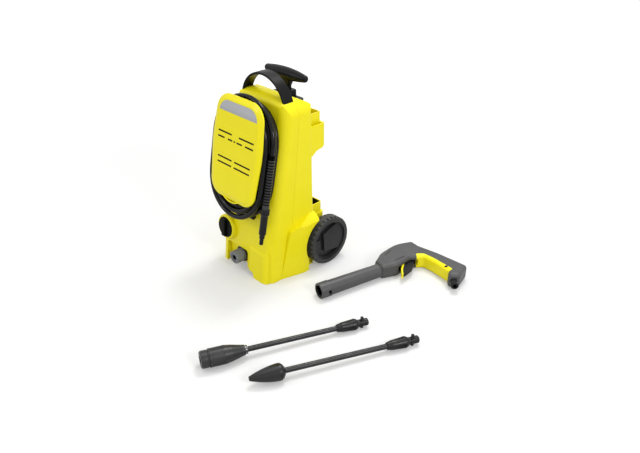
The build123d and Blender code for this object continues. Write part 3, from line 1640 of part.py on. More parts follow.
def gun_nodes():
    """Pieces of the trigger gun by name, where the gun lies."""
    body = gun_body()
    pieces = {
        "gun_shell_left": gun_half(body, -1),
        "gun_shell_right": gun_half(body, 1),
        "gun_barrel": gun_barrel(),
        "gun_muzzle": gun_muzzle(),
        "gun_valve": gun_valve(),
        "gun_grip_insert": gun_grip(body),
        "gun_lock_button": gun_lock(),
        "gun_trigger": gun_trigger(),
        "gun_trigger_arm": trigger_arm(),
        "gun_hose_socket": gun_hose_socket(),
    }
    place = gun_location()
    return {name: place * piece for name, piece in pieces.items()}


def lance_nodes():
    """Pieces of the two lances by name."""
    return {
        "vario_nozzle": vario_nozzle(),
        "vario_jet": vario_jet(),
        "vario_ring": vario_ring(),
        "vario_tube": lance_tube(vario_axis(), vario_tube_start, vario_tube_end),
        "vario_grip": lance_grip(vario_axis(), vario_tube_end),
        "vario_plug": lance_plug(vario_axis(), vario_tube_end + lance_grip_length),
        "rotor_cone": rotor_cone(),
        "rotor_collar": rotor_collar(),
        "rotor_tube": lance_tube(rotor_axis(), rotor_tube_start, rotor_tube_end),
        "rotor_grip": lance_grip(rotor_axis(), rotor_tube_end),
        "rotor_plug": lance_plug(rotor_axis(), rotor_tube_end + lance_grip_length),
    }


def write_nodes():
    """Write every piece to its own file."""
    os.makedirs("parts", exist_ok=True)
    nodes = {**machine_nodes(), **gun_nodes(), **lance_nodes()}
    for name, piece in nodes.items():
        solids = piece if isinstance(piece, list) else piece.solids()
        export_step(solids[0] if len(solids) == 1 else Compound(children=list(solids)), f"parts/{name}.step")


if __name__ == "__main__":
    write_nodes()
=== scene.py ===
"""Looks of an upright pressure washer with its wound hose, trigger gun and two spray lances."""
import logging
import math
from dataclasses import dataclass, replace
from enum import Enum

import bpy
import numpy as np
from mathutils import Matrix, Vector


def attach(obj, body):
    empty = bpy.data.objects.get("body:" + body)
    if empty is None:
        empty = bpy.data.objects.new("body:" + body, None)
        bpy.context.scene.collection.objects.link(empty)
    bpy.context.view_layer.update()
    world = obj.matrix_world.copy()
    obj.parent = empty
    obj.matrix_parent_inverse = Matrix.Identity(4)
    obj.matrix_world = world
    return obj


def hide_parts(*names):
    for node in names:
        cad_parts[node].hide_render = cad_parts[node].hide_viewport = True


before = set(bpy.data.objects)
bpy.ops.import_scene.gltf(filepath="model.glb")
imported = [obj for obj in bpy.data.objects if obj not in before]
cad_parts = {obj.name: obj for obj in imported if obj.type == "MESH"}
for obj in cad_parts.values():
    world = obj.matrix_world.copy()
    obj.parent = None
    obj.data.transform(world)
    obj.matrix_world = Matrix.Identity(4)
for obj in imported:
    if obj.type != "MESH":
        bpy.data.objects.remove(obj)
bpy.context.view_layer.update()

LOG = logging.getLogger("washer")
NODES: dict[str, bpy.types.Object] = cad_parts
Pair = tuple[float, float]
Triple = tuple[float, float, float]

# The photograph's width in pixels, and the camera sensor's in millimetres
IMAGE_WIDTH = 640
SENSOR_WIDTH = 36.0

# Finishes: the part of the noise's range that counts, each noise's octaves, the size of the gloss's noise
# against the mottle's, and where the painted shade inside a bore ends, as shares of its radius
NOISE_SPAN = (0.3, 0.7)
COLOUR_OCTAVES = 4.0
GLOSS_OCTAVES = 3.0
GRAIN_OCTAVES = 2.0
GLOSS_PER_MOTTLE = 0.4
LEAST_ROUGHNESS = 0.02
BUMP_STRENGTH = 0.5
BORE_EDGE = (0.97, 1.01)
WHITE = (1.0, 1.0, 1.0, 1.0)


def nodes_of(*names: str) -> list[bpy.types.Object]:
    """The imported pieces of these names."""
    return [NODES[name] for name in names]


def map_range(
    tree: bpy.types.NodeTree,
    value: bpy.types.NodeSocket,
    before: Pair,
    after: Pair,
    interpolation: str = "LINEAR",
) -> bpy.types.NodeSocket:
    """Map a value from one range to another and hold it at the ends.

    Args:
        tree: The nodes to add to.
        value: The socket that gives the value.
        before: Ends of the range that the value comes in.
        after: Ends of the range that it is mapped to.
        interpolation: Blender's name for the way between the ends.

    Returns:
        The socket that gives the mapped value.
    """
    node = tree.nodes.new("ShaderNodeMapRange")
    node.interpolation_type = interpolation
    for name, level in zip(("From Min", "From Max", "To Min", "To Max"), (*before, *after)):
        node.inputs[name].default_value = level
    tree.links.new(value, node.inputs["Value"])
    return node.outputs["Result"]


def combine(
    tree: bpy.types.NodeTree,
    operation: str,
    first: bpy.types.NodeSocket,
    second: bpy.types.NodeSocket | float,
) -> bpy.types.NodeSocket:
    """Combine two numbers.

    Args:
        tree: The nodes to add to.
        operation: Blender's name of the operation.
        first: The socket that gives the first number.
        second: The second number, or the socket that gives it.

    Returns:
        The socket that gives the result.
    """
    node = tree.nodes.new("ShaderNodeMath")
    node.operation = operation
    tree.links.new(first, node.inputs[0])
    if isinstance(second, float):
        node.inputs[1].default_value = second
    else:
        tree.links.new(second, node.inputs[1])
    return node.outputs["Value"]


def vector_step(
    tree: bpy.types.NodeTree,
    operation: str,
    vector: bpy.types.NodeSocket,
    other: Triple | None = None,
) -> bpy.types.Node:
    """Add one step of vector arithmetic.

    Args:
        tree: The nodes to add to.
        operation: Blender's name of the operation.
        vector: The socket that gives the first vector.
        other: The second vector, where the operation takes one.

    Returns:
        The step's node.
    """
    node = tree.nodes.new("ShaderNodeVectorMath")
    node.operation = operation
    tree.links.new(vector, node.inputs[0])
    if other is not None:
        node.inputs[1].default_value = other
    return node


class Grain(Enum):
    """Kinds of surface grain, as (stretch along X, Y, Z) of the noise that makes it."""

    MOULDED = (1.0, 1.0, 1.0)
    RUBBER = (1.0, 1.0, 0.6)
    BRUSHED = (0.06, 1.0, 1.0)


@dataclass(frozen=True)
class LeaningWall:
    """Coordinates on the casing's leaning front: across, up the wall, and out from it."""

    knee: Triple = (0.0, -0.1123, 0.140)
    lean_degrees: float = 11.7

    def axes(self) -> tuple[np.ndarray, np.ndarray, np.ndarray]:
        """Directions across, up the wall and out from it.

        Returns:
            Three unit vectors, the last two turned by the lean about X.
        """
        lean = math.radians(self.lean_degrees)
        up = np.array((0.0, math.sin(lean), math.cos(lean)))
        out = np.array((0.0, -math.cos(lean), math.sin(lean)))
        return np.array((1.0, 0.0, 0.0)), up, out

    def points(self, local: np.ndarray) -> np.ndarray:
        """Turn wall coordinates into places: the knee plus each coordinate times its direction.

        Args:
            local: Rows of (across, up, out).

        Returns:
            Rows of (x, y, z).
        """
        return np.array(self.knee) + local @ np.array(self.axes())


@dataclass(frozen=True)
class Bore:
    """A round opening whose inside is painted in shade: a point on its axis, the axis, and its radius."""

    point: Triple
    axis: Triple
    radius: float
    shade: float = 0.06

    def mask(self, tree: bpy.types.NodeTree, place: bpy.types.NodeSocket) -> bpy.types.NodeSocket:
        """Share of the finish's colour that is kept: the painted shade inside the radius, all of it
        outside.

        The distance from the axis is |(p - point) x axis|.

        Args:
            tree: The material's nodes.
            place: Object coordinates.

        Returns:
            The socket that gives the share.
        """
        away = vector_step(tree, "SUBTRACT", place, self.point)
        across = vector_step(tree, "CROSS_PRODUCT", away.outputs["Vector"], self.axis)
        distance = vector_step(tree, "LENGTH", across.outputs["Vector"])
        inner, outer = (self.radius * share for share in BORE_EDGE)
        return map_range(tree, distance.outputs["Value"], (inner, outer), (self.shade, 1.0))


@dataclass(frozen=True)
class Finish:
    """One surface finish: its colour, its gloss, the grain that breaks both up, and any shade painted
    inside a bore.
    """

    name: str
    colour: Triple
    roughness: float
    grain: Grain = Grain.MOULDED
    grain_size: float = 0.0006
    grain_depth: float = 0.00004
    mottle: float = 0.05
    mottle_size: float = 0.05
    gloss_spread: float = 0.06
    metallic: float = 0.0
    specular: float = 0.5
    # Painted shade inside a bore, where the finish has one
    painted_shade: Bore | None = None

    def material(self) -> bpy.types.Material:
        """Build the finish once and hand it out again afterwards.

        Returns:
            The material, made of noise on Object coordinates.
        """
        found = bpy.data.materials.get(self.name)
        if found is not None:
            return found
        material = bpy.data.materials.new(self.name)
        material.use_nodes = True
        tree = material.node_tree
        shader = tree.nodes["Principled BSDF"]
        shader.inputs["Metallic"].default_value = self.metallic
        shader.inputs["Specular IOR Level"].default_value = self.specular
        place = tree.nodes.new("ShaderNodeTexCoord")
        stretch = tree.nodes.new("ShaderNodeMapping")
        stretch.inputs["Scale"].default_value = self.grain.value
        tree.links.new(place.outputs["Object"], stretch.inputs["Vector"])
        self._colour(tree, shader, stretch)
        # Paint the shade inside the bore
        if self.painted_shade is not None:
            self._paint_shade(tree, shader, self.painted_shade.mask(tree, place.outputs["Object"]))
        self._gloss(tree, shader, stretch)
        self._relief(tree, shader, stretch)
        return material

    @staticmethod
    def _noise(
        tree: bpy.types.NodeTree, source: bpy.types.Node, size: float, octaves: float
    ) -> bpy.types.NodeSocket:
        """Noise with features of a size in metres.

        Args:
            tree: The material's nodes.
            source: The node that gives the coordinates.
            size: Length of one feature.
            octaves: Octaves of finer noise.

        Returns:
            The socket that gives the noise.
        """
        noise = tree.nodes.new("ShaderNodeTexNoise")
        noise.inputs["Scale"].default_value = 1.0 / size
        noise.inputs["Detail"].default_value = octaves
        tree.links.new(source.outputs["Vector"], noise.inputs["Vector"])
        return noise.outputs["Fac"]

    def _colour(self, tree: bpy.types.NodeTree, shader: bpy.types.Node, source: bpy.types.Node) -> None:
        """Vary the colour a little round its own value, darker and lighter by the mottle share.

        Args:
            tree: The material's nodes.
            shader: The shader that takes the colour.
            source: The node that gives the coordinates.
        """
        noise = self._noise(tree, source, self.mottle_size, COLOUR_OCTAVES)
        ramp = tree.nodes.new("ShaderNodeValToRGB")
        shares = (1.0 - self.mottle, 1.0 + self.mottle)
        for end, position, share in zip(ramp.color_ramp.elements, NOISE_SPAN, shares):
            end.position = position
            end.color = (*(min(1.0, channel * share) for channel in self.colour), 1.0)
        tree.links.new(noise, ramp.inputs["Fac"])
        tree.links.new(ramp.outputs["Color"], shader.inputs["Base Color"])

    def _paint_shade(
        self, tree: bpy.types.NodeTree, shader: bpy.types.Node, share: bpy.types.NodeSocket
    ) -> None:
        """Paint shade inside a bore: scale the colour and the specular level by a share.

        Args:
            tree: The material's nodes.
            shader: The shader that takes the colour.
            share: The socket that gives the share.
        """
        scale = vector_step(tree, "SCALE", shader.inputs["Base Color"].links[0].from_socket)
        tree.links.new(share, scale.inputs["Scale"])
        tree.links.new(scale.outputs["Vector"], shader.inputs["Base Color"])
        level = combine(tree, "MULTIPLY", share, self.specular)
        tree.links.new(level, shader.inputs["Specular IOR Level"])

    def _gloss(self, tree: bpy.types.NodeTree, shader: bpy.types.Node, source: bpy.types.Node) -> None:
        """Vary the roughness by the gloss spread to each side of its value.

        Args:
            tree: The material's nodes.
            shader: The shader that takes the roughness.
            source: The node that gives the coordinates.
        """
        noise = self._noise(tree, source, self.mottle_size * GLOSS_PER_MOTTLE, GLOSS_OCTAVES)
        smooth = max(LEAST_ROUGHNESS, self.roughness - self.gloss_spread)
        rough = min(1.0, self.roughness + self.gloss_spread)
        tree.links.new(map_range(tree, noise, NOISE_SPAN, (smooth, rough)), shader.inputs["Roughness"])

    def _relief(self, tree: bpy.types.NodeTree, shader: bpy.types.Node, source: bpy.types.Node) -> None:
        """Raise the grain as a bump of the grain's depth.

        Args:
            tree: The material's nodes.
            shader: The shader that takes the normal.
            source: The node that gives the coordinates.
        """
        noise = self._noise(tree, source, self.grain_size, GRAIN_OCTAVES)
        bump = tree.nodes.new("ShaderNodeBump")
        bump.inputs["Strength"].default_value = BUMP_STRENGTH
        bump.inputs["Distance"].default_value = self.grain_depth
        tree.links.new(noise, bump.inputs["Height"])
        tree.links.new(bump.outputs["Normal"], shader.inputs["Normal"])

    def put_on(self, *objects: bpy.types.Object) -> None:
        """Dress objects in this finish alone.

        Args:
            objects: The pieces to dress.
        """
        for item in objects:
            item.data.materials.clear()
            item.data.materials.append(self.material())
            LOG.info("%s: %s", item.name, self.name)


YELLOW = Finish("washer_yellow_plastic", (0.87, 0.765, 0.006), 0.36, mottle=0.015, specular=0.28)
BLACK = Finish(
    "washer_black_plastic", (0.005, 0.005, 0.0055), 0.36, mottle=0.15, grain_depth=0.00008, specular=0.15
)
# The dull black of the knob is also that of the lance's jet and of the cover's slot inserts, which paint
# the slots' shade
KNOB = Finish("washer_knob_plastic", (0.003, 0.003, 0.003), 0.4, mottle=0.15, specular=0.08)
SILVER = Finish(
    "washer_badge_silver",
    (0.5, 0.51, 0.53),
    0.34,
    Grain.BRUSHED,
    grain_size=0.0012,
    mottle=0.12,
    metallic=0.85,
)
# The dark inside the inlet's bore is painted shade
INLET_GREY = Finish(
    "washer_inlet_grey",
    (0.16, 0.17, 0.185),
    0.5,
    mottle=0.08,
    painted_shade=Bore((-0.02, 0.0, 0.042), (0.0, 1.0, 0.0), 0.0075),
)
HOSE_RUBBER = Finish(
    "washer_hose_rubber",
    (0.004, 0.004, 0.0045),
    0.2,
    Grain.RUBBER,
    mottle=0.2,
    mottle_size=0.03,
    specular=0.24,
)
# The grooves between the strain relief's ribs are painted in shade, which leaves the crests at the relief's
# own grey
RELIEF = Finish(
    "washer_relief_plastic",
    (0.034, 0.034, 0.035),
    0.3,
    mottle=0.1,
    specular=0.36,
    painted_shade=Bore((0.107, -0.0983, 0.38015), (0.0, 0.2028, 0.9792), 0.0087, 0.05),
)
HOSE_END = Finish("washer_hose_end_plastic", (0.004, 0.004, 0.0045), 0.24, mottle=0.2, specular=0.3)
TYRE = Finish(
    "washer_tyre_plastic", (0.035, 0.035, 0.036), 0.5, mottle=0.2, grain_depth=0.00012, specular=0.4
)
HUB = Finish("washer_hub_plastic", (0.022, 0.022, 0.023), 0.36, mottle=0.1, specular=0.3)
GUN_GREY = Finish(
    "gun_grey_plastic", (0.066, 0.066, 0.068), 0.42, mottle=0.08, grain_depth=0.00009, specular=0.4
)
# The gun's grey with shade painted inside the muzzle's mouth
SHADED_MUZZLE = replace(
    GUN_GREY,
    name="gun_muzzle_painted_shade",
    painted_shade=Bore((0.2397, -0.0666, 0.0221), (0.240228, 0.970716, 0.0), 0.0168, 0.03),
)
GUN_BLACK = Finish("gun_black_plastic", (0.006, 0.006, 0.0065), 0.4, mottle=0.12, specular=0.22)
LANCE_BLACK = Finish("lance_black_plastic", (0.008, 0.008, 0.009), 0.32, mottle=0.12, specular=0.3)
# The nozzle's opening is painted in shade
LANCE_NOZZLE = Finish(
    "lance_nozzle_plastic",
    (0.024, 0.024, 0.025),
    0.36,
    mottle=0.1,
    specular=0.34,
    painted_shade=Bore((0.242, -0.4477, 0.023965), (0.390616, 0.920234, -0.024242), 0.0094, 0.03),
)
LANCE_CONE = Finish("lance_cone_plastic", (0.01, 0.01, 0.011), 0.22, mottle=0.1, specular=0.4)
LANCE_TUBE = Finish("lance_tube_coating", (0.018, 0.018, 0.019), 0.3, mottle=0.12, specular=0.3)
LANCE_RING = Finish("lance_ring_metal", (0.16, 0.16, 0.165), 0.16, metallic=1.0)
STEEL = Finish("bare_steel", (0.5, 0.5, 0.51), 0.3, Grain.BRUSHED, metallic=1.0)
CAST = Finish("cast_aluminium", (0.42, 0.42, 0.43), 0.5, metallic=0.9, grain_depth=0.0002, grain_size=0.002)
MOTOR = Finish("motor_paint", (0.06, 0.06, 0.065), 0.5)


@dataclass
class PhotoCamera:
    """The camera at the photograph's angle, as fitted to it."""

    azimuth: float = 45.765
    elevation: float = 30.685
    focal_pixels: float = 653.507
    distance: float = 1.926061
    right_shift: float = 0.122326
    up_shift: float = 0.078688

    def build(self) -> None:
        """Make the camera: it stands back along its view line, moved right and up in its own plane."""
        turn, lift = math.radians(self.azimuth), math.radians(self.elevation)
        right = Vector((math.cos(turn), math.sin(turn), 0.0))
        flat = math.cos(lift)
        view = Vector((-math.sin(turn) * flat, math.cos(turn) * flat, -math.sin(lift)))
        up = right.cross(view)
        place = right * self.right_shift + up * self.up_shift - view * self.distance
        data = bpy.data.cameras.new("photo_camera")
        data.sensor_width = SENSOR_WIDTH
        data.lens = SENSOR_WIDTH * self.focal_pixels / IMAGE_WIDTH
        camera = bpy.data.objects.new("photo_camera", data)
        axes = Matrix((right, up, -view)).transposed().to_4x4()
        camera.matrix_world = Matrix.Translation(place) @ axes
        bpy.context.scene.collection.objects.link(camera)
        bpy.context.scene.camera = camera
        LOG.info("camera at %.3f %.3f %.3f", *place)


@dataclass(frozen=True)
class Lamp:
    """A square soft lamp: its place, what it points at, its side, and its power in watts."""

    name: str
    place: Triple
    target: Triple
    side: float
    power: float

    def build(self) -> None:
        """Add the lamp to the scene."""
        data = bpy.data.lights.new(self.name, "AREA")
        data.size = self.side
        data.energy = self.power
        lamp = bpy.data.objects.new(self.name, data)
        lamp.location = self.place
        aim = Vector(self.target) - Vector(self.place)
        lamp.rotation_euler = aim.to_track_quat("-Z", "Y").to_euler()
        bpy.context.scene.collection.objects.link(lamp)


@dataclass
class Studio:
    """Plain pale floor, white surroundings and soft lamps."""

    floor_half: float = 30.0
    floor_drop: float = 0.0003
    floor_colour: Triple = (0.6, 0.6, 0.6)
    floor_roughness: float = 0.9
    near_glow: float = 0.22
    far_glow: float = 0.56
    near: float = 0.8
    far: float = 2.2
    ambient: float = 0.76
    lamps: tuple[Lamp, ...] = (
        Lamp("overhead_lamp", (0.0, 0.3, 4.4), (0.1, 0.2, 0.0), side=3.6, power=36.0),
        Lamp("back_lamp", (-0.15, 0.95, 2.7), (0.15, 0.0, 0.1), side=0.6, power=30.0),
        Lamp("front_lamp", (-1.3, -2.3, 1.7), (0.05, 0.0, 0.25), side=0.5, power=11.0),
        Lamp("side_lamp", (2.4, -0.3, 1.5), (0.05, 0.0, 0.25), side=0.5, power=19.0),
    )

    def build(self) -> None:
        """Make floor, world and lamps."""
        self._floor()
        self._world()
        for lamp in self.lamps:
            lamp.build()

    def _floor(self) -> None:
        """A wide square at floor level; a glow for camera rays lifts its lit part to white."""
        half = self.floor_half
        mesh = bpy.data.meshes.new("studio_floor")
        corners = [(-half, -half, 0), (half, -half, 0), (half, half, 0), (-half, half, 0)]
        mesh.from_pydata(corners, [], [(0, 1, 2, 3)])
        floor = bpy.data.objects.new("studio_floor", mesh)
        floor.location.z = -self.floor_drop
        bpy.context.scene.collection.objects.link(floor)
        material = bpy.data.materials.new("studio_floor")
        material.use_nodes = True
        tree = material.node_tree
        shader = tree.nodes["Principled BSDF"]
        shader.inputs["Base Color"].default_value = (*self.floor_colour, 1.0)
        shader.inputs["Roughness"].default_value = self.floor_roughness
        shader.inputs["Specular IOR Level"].default_value = 0.0
        shader.inputs["Emission Color"].default_value = WHITE
        path = tree.nodes.new("ShaderNodeLightPath")
        glow = combine(tree, "MULTIPLY", path.outputs["Is Camera Ray"], self._glow_level(tree))
        tree.links.new(glow, shader.inputs["Emission Strength"])
        mesh.materials.append(material)

    def _glow_level(self, tree: bpy.types.NodeTree) -> bpy.types.NodeSocket:
        """The floor's glow, which rises smoothly with the distance from the middle.

        From near (t = 0) to far (t = 1) it goes as 3t^2 - 2t^3.

        Args:
            tree: The floor's nodes.

        Returns:
            The socket that gives the glow.
        """
        place = tree.nodes.new("ShaderNodeTexCoord")
        distance = vector_step(tree, "LENGTH", place.outputs["Object"])
        reach, glow = (self.near, self.far), (self.near_glow, self.far_glow)
        return map_range(tree, distance.outputs["Value"], reach, glow, "SMOOTHSTEP")

    def _world(self) -> None:
        """White where it is seen, directly or in a reflection, and a softer ambient light elsewhere."""
        world = bpy.data.worlds.new("studio_world")
        world.use_nodes = True
        bpy.context.scene.world = world
        tree = world.node_tree
        background = tree.nodes["Background"]
        background.inputs["Color"].default_value = WHITE
        path = tree.nodes.new("ShaderNodeLightPath")
        seen = path.outputs["Is Camera Ray"]
        for name in ("Is Glossy Ray", "Is Transmission Ray"):
            seen = combine(tree, "MAXIMUM", seen, path.outputs[name])
        strength = map_range(tree, seen, (0.0, 1.0), (self.ambient, 1.0))
        tree.links.new(strength, background.inputs["Strength"])


@dataclass
class HoseReel:
    """The hose on its oblong drum, the cover in front of it, and the hose's end."""

    wall: LeaningWall
    hose_od: float = 0.013
    hose_length: float = 6.626
    loop_top: float = 0.246
    loop_bottom: float = 0.1423
    widest_run: float = 0.098
    half_step: float = 0.008
    layer_step: float = 0.014
    stand_off: float = 0.001
    layers: int = 4
    runs_per_layer: int = 4
    first_drop: float = 0.003
    last_rise: float = 0.006
    tail_across: float = 0.107
    tail_out: float = 0.035
    relief_top: float = 0.238
    turn_points: int = 6
    section_steps: int = 5
    curve_order: int = 3
    curve_steps: int = 8

    def layer_out(self, layer: int) -> float:
        """How far the middle of a layer stands out from the wall."""
        return self.stand_off + self.hose_od / 2 + layer * self.layer_step

    def runs(self) -> np.ndarray:
        """The upright runs in order, as (across, out), left and right by turns.

        Returns:
            One row for each run; the layers spiral in and out by turns.
        """
        rows = []
        for layer in range(self.layers):
            for turn in range(self.runs_per_layer):
                drawn_in = turn if layer % 2 == 0 else self.runs_per_layer - 1 - turn
                side = -1.0 if turn % 2 == 0 else 1.0
                rows.append((side * (self.widest_run - drawn_in * self.half_step), self.layer_out(layer)))
        rows.append((-self.widest_run - self.half_step, self.layer_out(self.layers - 1)))
        rows.append((self.tail_across, self.tail_out))
        return np.array(rows)

    @staticmethod
    def arc(
        middle: np.ndarray, start: np.ndarray, side: np.ndarray, turn: float, count: int
    ) -> np.ndarray:
        """Corners of the polygon that hugs an arc from outside, each half a step on from the last tangent.

        A corner at angle a is middle + (start cos a + side sin a) / cos(half a step).

        Args:
            middle: The arc's centre.
            start: Vector from the centre to the arc's first point.
            side: Vector of the same length, square to start, towards the turn.
            turn: The arc's angle in radians.
            count: Number of corners.

        Returns:
            Rows of points in wall coordinates.
        """
        step = turn / count
        angle = (np.arange(count)[:, None] + 0.5) * step
        return middle + (start * np.cos(angle) + side * np.sin(angle)) / math.cos(step / 2)

    def route(self) -> np.ndarray:
        """Control points of the hose: straight out of the outlet, round the drum, and down to the plug.

        Returns:
            Rows of (x, y, z).
        """
        runs = self.runs()
        first_up = self.loop_bottom - self.first_drop
        out = self.layer_out(0)
        centre = np.array((0.0, first_up, out))
        down = np.array((0.0, -self.widest_run, 0.0))
        left = np.array((-self.widest_run, 0.0, 0.0))
        exit_up = first_up - self.widest_run
        rows = [np.array([(self.hose_od, exit_up, out), (self.hose_od / 2, exit_up, out)])]
        rows.append(self.arc(centre, down, left, math.pi / 2, self.turn_points // 2))
        for index in range(len(runs) - 1):
            rising = index % 2 == 0
            last = index == len(runs) - 2
            top = self.loop_top + (self.last_rise if last else 0.0)
            level = top if rising else self.loop_bottom
            ends = np.array([(across, level, out) for across, out in runs[index : index + 2]])
            middle = ends.mean(axis=0)
            start = ends[0] - middle
            rise = np.array((0.0, np.linalg.norm(start) * (1.0 if rising else -1.0), 0.0))
            run_across, run_out = runs[index]
            half_way = np.array([(run_across, (self.loop_top + self.loop_bottom) / 2, run_out)])
            rows += [half_way, self.arc(middle, start, rise, math.pi, self.turn_points)]
        tail_ups = (self.relief_top + self.hose_od / 2, self.relief_top)
        rows.append(np.array([(self.tail_across, up, self.tail_out) for up in tail_ups]))
        return self.wall.points(np.concatenate(rows))

    def build(self) -> bpy.types.Object:
        """Make the hose as one smooth curve with a round section.

        Returns:
            The hose.
        """
        points = self.route()
        curve = bpy.data.curves.new("hose", "CURVE")
        curve.dimensions = "3D"
        # The section's radius is this depth times the points' radius, which the curve's box grows by
        curve.bevel_depth = 1.0
        curve.bevel_resolution = self.section_steps
        curve.use_fill_caps = True
        spline = curve.splines.new("NURBS")
        spline.points.add(len(points) - 1)
        weights = np.ones((len(points), 1))
        spline.points.foreach_set("co", np.hstack((points, weights)).ravel())
        spline.points.foreach_set("radius", weights.ravel() * self.hose_od / 2)
        spline.order_u = self.curve_order
        spline.use_endpoint_u = True
        spline.resolution_u = self.curve_steps
        hose = bpy.data.objects.new("hose", curve)
        bpy.context.scene.collection.objects.link(hose)
        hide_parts("hose_coil")
        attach(hose, "machine")
        LOG.info("hose of %d points", len(points))
        return hose

    def dress(self, hose: bpy.types.Object) -> None:
        """Dress the hose, its end, the cover and the badge.

        Args:
            hose: The hose's curve.
        """
        HOSE_RUBBER.put_on(hose)
        RELIEF.put_on(*nodes_of("hose_strain_relief"))
        HOSE_END.put_on(*nodes_of("hose_plug", "pressure_outlet"))
        YELLOW.put_on(*nodes_of("front_cover", "hose_drum"))
        SILVER.put_on(*nodes_of("badge_plate"))


@dataclass(frozen=True)
class SlotRow:
    """A row of the cover's slots: its place up the wall, its face's way out, and each slot's ends."""

    up: float
    out: float
    ends: tuple[Pair, ...]


@dataclass
class CoverSlotShade:
    """Black lipped inserts in the cover's slots, in rows across the leaning wall, that paint the slots'
    shade.
    """

    wall: LeaningWall
    slot_height: float = 0.003
    lip: float = 0.0006
    lip_height: float = 0.00015
    room: float = 0.00005
    depth: float = 0.0015
    face_out: float = 0.0665
    band_out: float = 0.0657
    corner_points: int = 9

    def rows(self) -> tuple[SlotRow, ...]:
        """The rows of slots, as the cover has them.

        Returns:
            The rows from the top down.
        """
        broken = ((-0.071, -0.044), (-0.030, -0.012), (-0.006, 0.0), (0.006, 0.027), (0.040, 0.071))
        return (
            SlotRow(0.2578, self.face_out, ((-0.071, -0.016), (0.013, 0.071))),
            SlotRow(0.2428, self.face_out, broken),
            SlotRow(0.1908, self.band_out, ((-0.066, -0.008), (0.003, 0.066))),
            SlotRow(0.1758, self.band_out, ((-0.065, -0.008), (0.003, 0.065))),
        )

    def ring(self, row: SlotRow, ends: Pair, grow: float, rise: float) -> np.ndarray:
        """One ring round an insert: two half circles, joined straight.

        With radius r about (c, up) they are (c + r cos a, up + r sin a).

        Args:
            row: The slot's row.
            ends: The slot's left and right end.
            grow: How much wider than the slot the ring is on every side.
            rise: How far it stands out from the cover's face.

        Returns:
            Rows of (across, up, out).
        """
        left, right = ends
        half = self.slot_height / 2
        radius = half + grow
        angle = np.linspace(-math.pi / 2, math.pi / 2, self.corner_points)
        right_half = (right - half + radius * np.cos(angle), row.up + radius * np.sin(angle))
        left_half = (left + half - radius * np.cos(angle), row.up - radius * np.sin(angle))
        across, height = np.hstack((right_half, left_half))
        return np.column_stack((across, height, np.full(len(across), row.out + rise)))

    def build(self) -> bpy.types.Object:
        """Make all inserts as one piece, each a closed black plug of painted shade with a thin lip on the
        cover's face.

        Returns:
            The inserts that paint the slots' shade.
        """
        levels = [
            (self.lip, self.lip_height),
            (self.lip, self.room),
            (-self.room, self.room),
            (-self.room, -self.depth),
        ]
        slots = [(row, ends) for row in self.rows() for ends in row.ends]
        corners = np.concatenate([self.ring(*slot, *level) for slot in slots for level in levels])
        count = 2 * self.corner_points
        places = np.arange(len(corners)).reshape(len(slots), len(levels), count)
        onward = np.roll(places, -1, axis=2)
        quads = np.stack((places[:, :-1], places[:, 1:], onward[:, 1:], onward[:, :-1]), axis=-1)
        sides = quads.reshape(-1, 4)
        caps = places[:, 0].tolist() + places[:, -1, ::-1].tolist()
        mesh = bpy.data.meshes.new("cover_slot_painted_shade")
        mesh.from_pydata(self.wall.points(corners).tolist(), [], sides.tolist() + caps)
        shade_inserts = bpy.data.objects.new("cover_slot_painted_shade", mesh)
        bpy.context.scene.collection.objects.link(shade_inserts)
        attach(shade_inserts, "machine")
        LOG.info("%d slot inserts", len(slots))
        return shade_inserts

    def dress(self, shade_inserts: bpy.types.Object) -> None:
        """Dress the inserts, which paint the slots' shade, in the dull black of the knob.

        Args:
            shade_inserts: The inserts' mesh.
        """
        KNOB.put_on(shade_inserts)


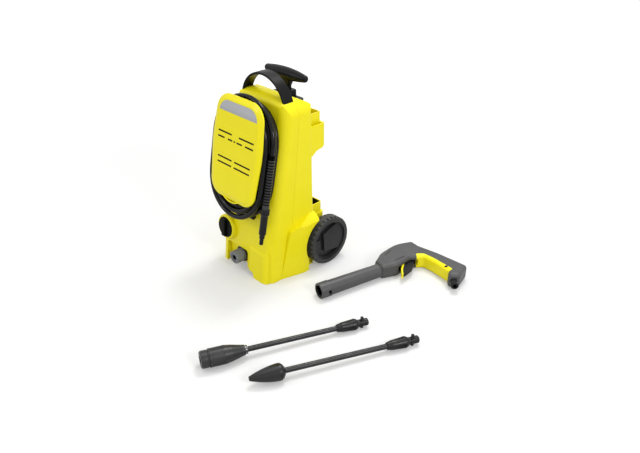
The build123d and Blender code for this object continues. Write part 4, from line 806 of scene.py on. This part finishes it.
@dataclass
class Casing:
    """The casing, its handles, and what is set into it."""

    def dress(self) -> None:
        """Dress the casing's pieces."""
        YELLOW.put_on(*nodes_of("front_shell", "rear_shell"))
        BLACK.put_on(*nodes_of("carry_handle", "handle_guide", "handle_grip", "handle_stem"))
        BLACK.put_on(*nodes_of("storage_liner", "cable_gland", "inlet_ring", "base_tray"))
        BLACK.put_on(*nodes_of("switch_box"))
        KNOB.put_on(*nodes_of("switch_knob"))
        INLET_GREY.put_on(*nodes_of("water_inlet"))
        STEEL.put_on(*nodes_of("case_screws", "axle", "inlet_filter", "pistons"))
        MOTOR.put_on(*nodes_of("motor_can", "motor_rotor"))
        CAST.put_on(*nodes_of("pump_head", "suction_pipe", "pressure_pipe"))


@dataclass
class Wheels:
    """The two wheels."""

    def dress(self) -> None:
        """Dress tyres and hubs."""
        TYRE.put_on(*nodes_of("right_tyre", "left_tyre"))
        HUB.put_on(*nodes_of("right_hub", "left_hub", "right_hub_plate", "left_hub_plate"))


@dataclass
class SprayGun:
    """The trigger gun."""

    def dress(self) -> None:
        """Dress the gun's pieces."""
        GUN_GREY.put_on(*nodes_of("gun_shell_left", "gun_shell_right", "gun_barrel"))
        SHADED_MUZZLE.put_on(*nodes_of("gun_muzzle"))
        YELLOW.put_on(*nodes_of("gun_grip_insert", "gun_trigger"))
        GUN_BLACK.put_on(*nodes_of("gun_lock_button", "gun_trigger_arm", "gun_hose_socket"))
        CAST.put_on(*nodes_of("gun_valve"))


@dataclass
class Lances:
    """The two spray lances."""

    def dress(self) -> None:
        """Dress the lances' pieces."""
        for lance in ("vario", "rotor"):
            LANCE_TUBE.put_on(*nodes_of(f"{lance}_tube"))
            LANCE_BLACK.put_on(*nodes_of(f"{lance}_grip", f"{lance}_plug"))
        LANCE_NOZZLE.put_on(*nodes_of("vario_nozzle"))
        KNOB.put_on(*nodes_of("vario_jet"))
        LANCE_BLACK.put_on(*nodes_of("rotor_collar"))
        LANCE_RING.put_on(*nodes_of("vario_ring"))
        LANCE_CONE.put_on(*nodes_of("rotor_cone"))


def main() -> None:
    """Build the camera, the hose, the slot inserts that paint the slots' shade and the studio, and dress
    every piece.
    """
    logging.basicConfig(level=logging.INFO, format="%(name)s %(message)s")
    bpy.context.scene.view_settings.view_transform = "Standard"
    PhotoCamera().build()
    wall = LeaningWall()
    reel = HoseReel(wall)
    hose = reel.build()
    slots = CoverSlotShade(wall)
    shade_inserts = slots.build()
    Studio().build()
    reel.dress(hose)
    slots.dress(shade_inserts)
    for assembly in (Casing(), Wheels(), SprayGun(), Lances()):
        assembly.dress()


if __name__ == "__main__":
    main()
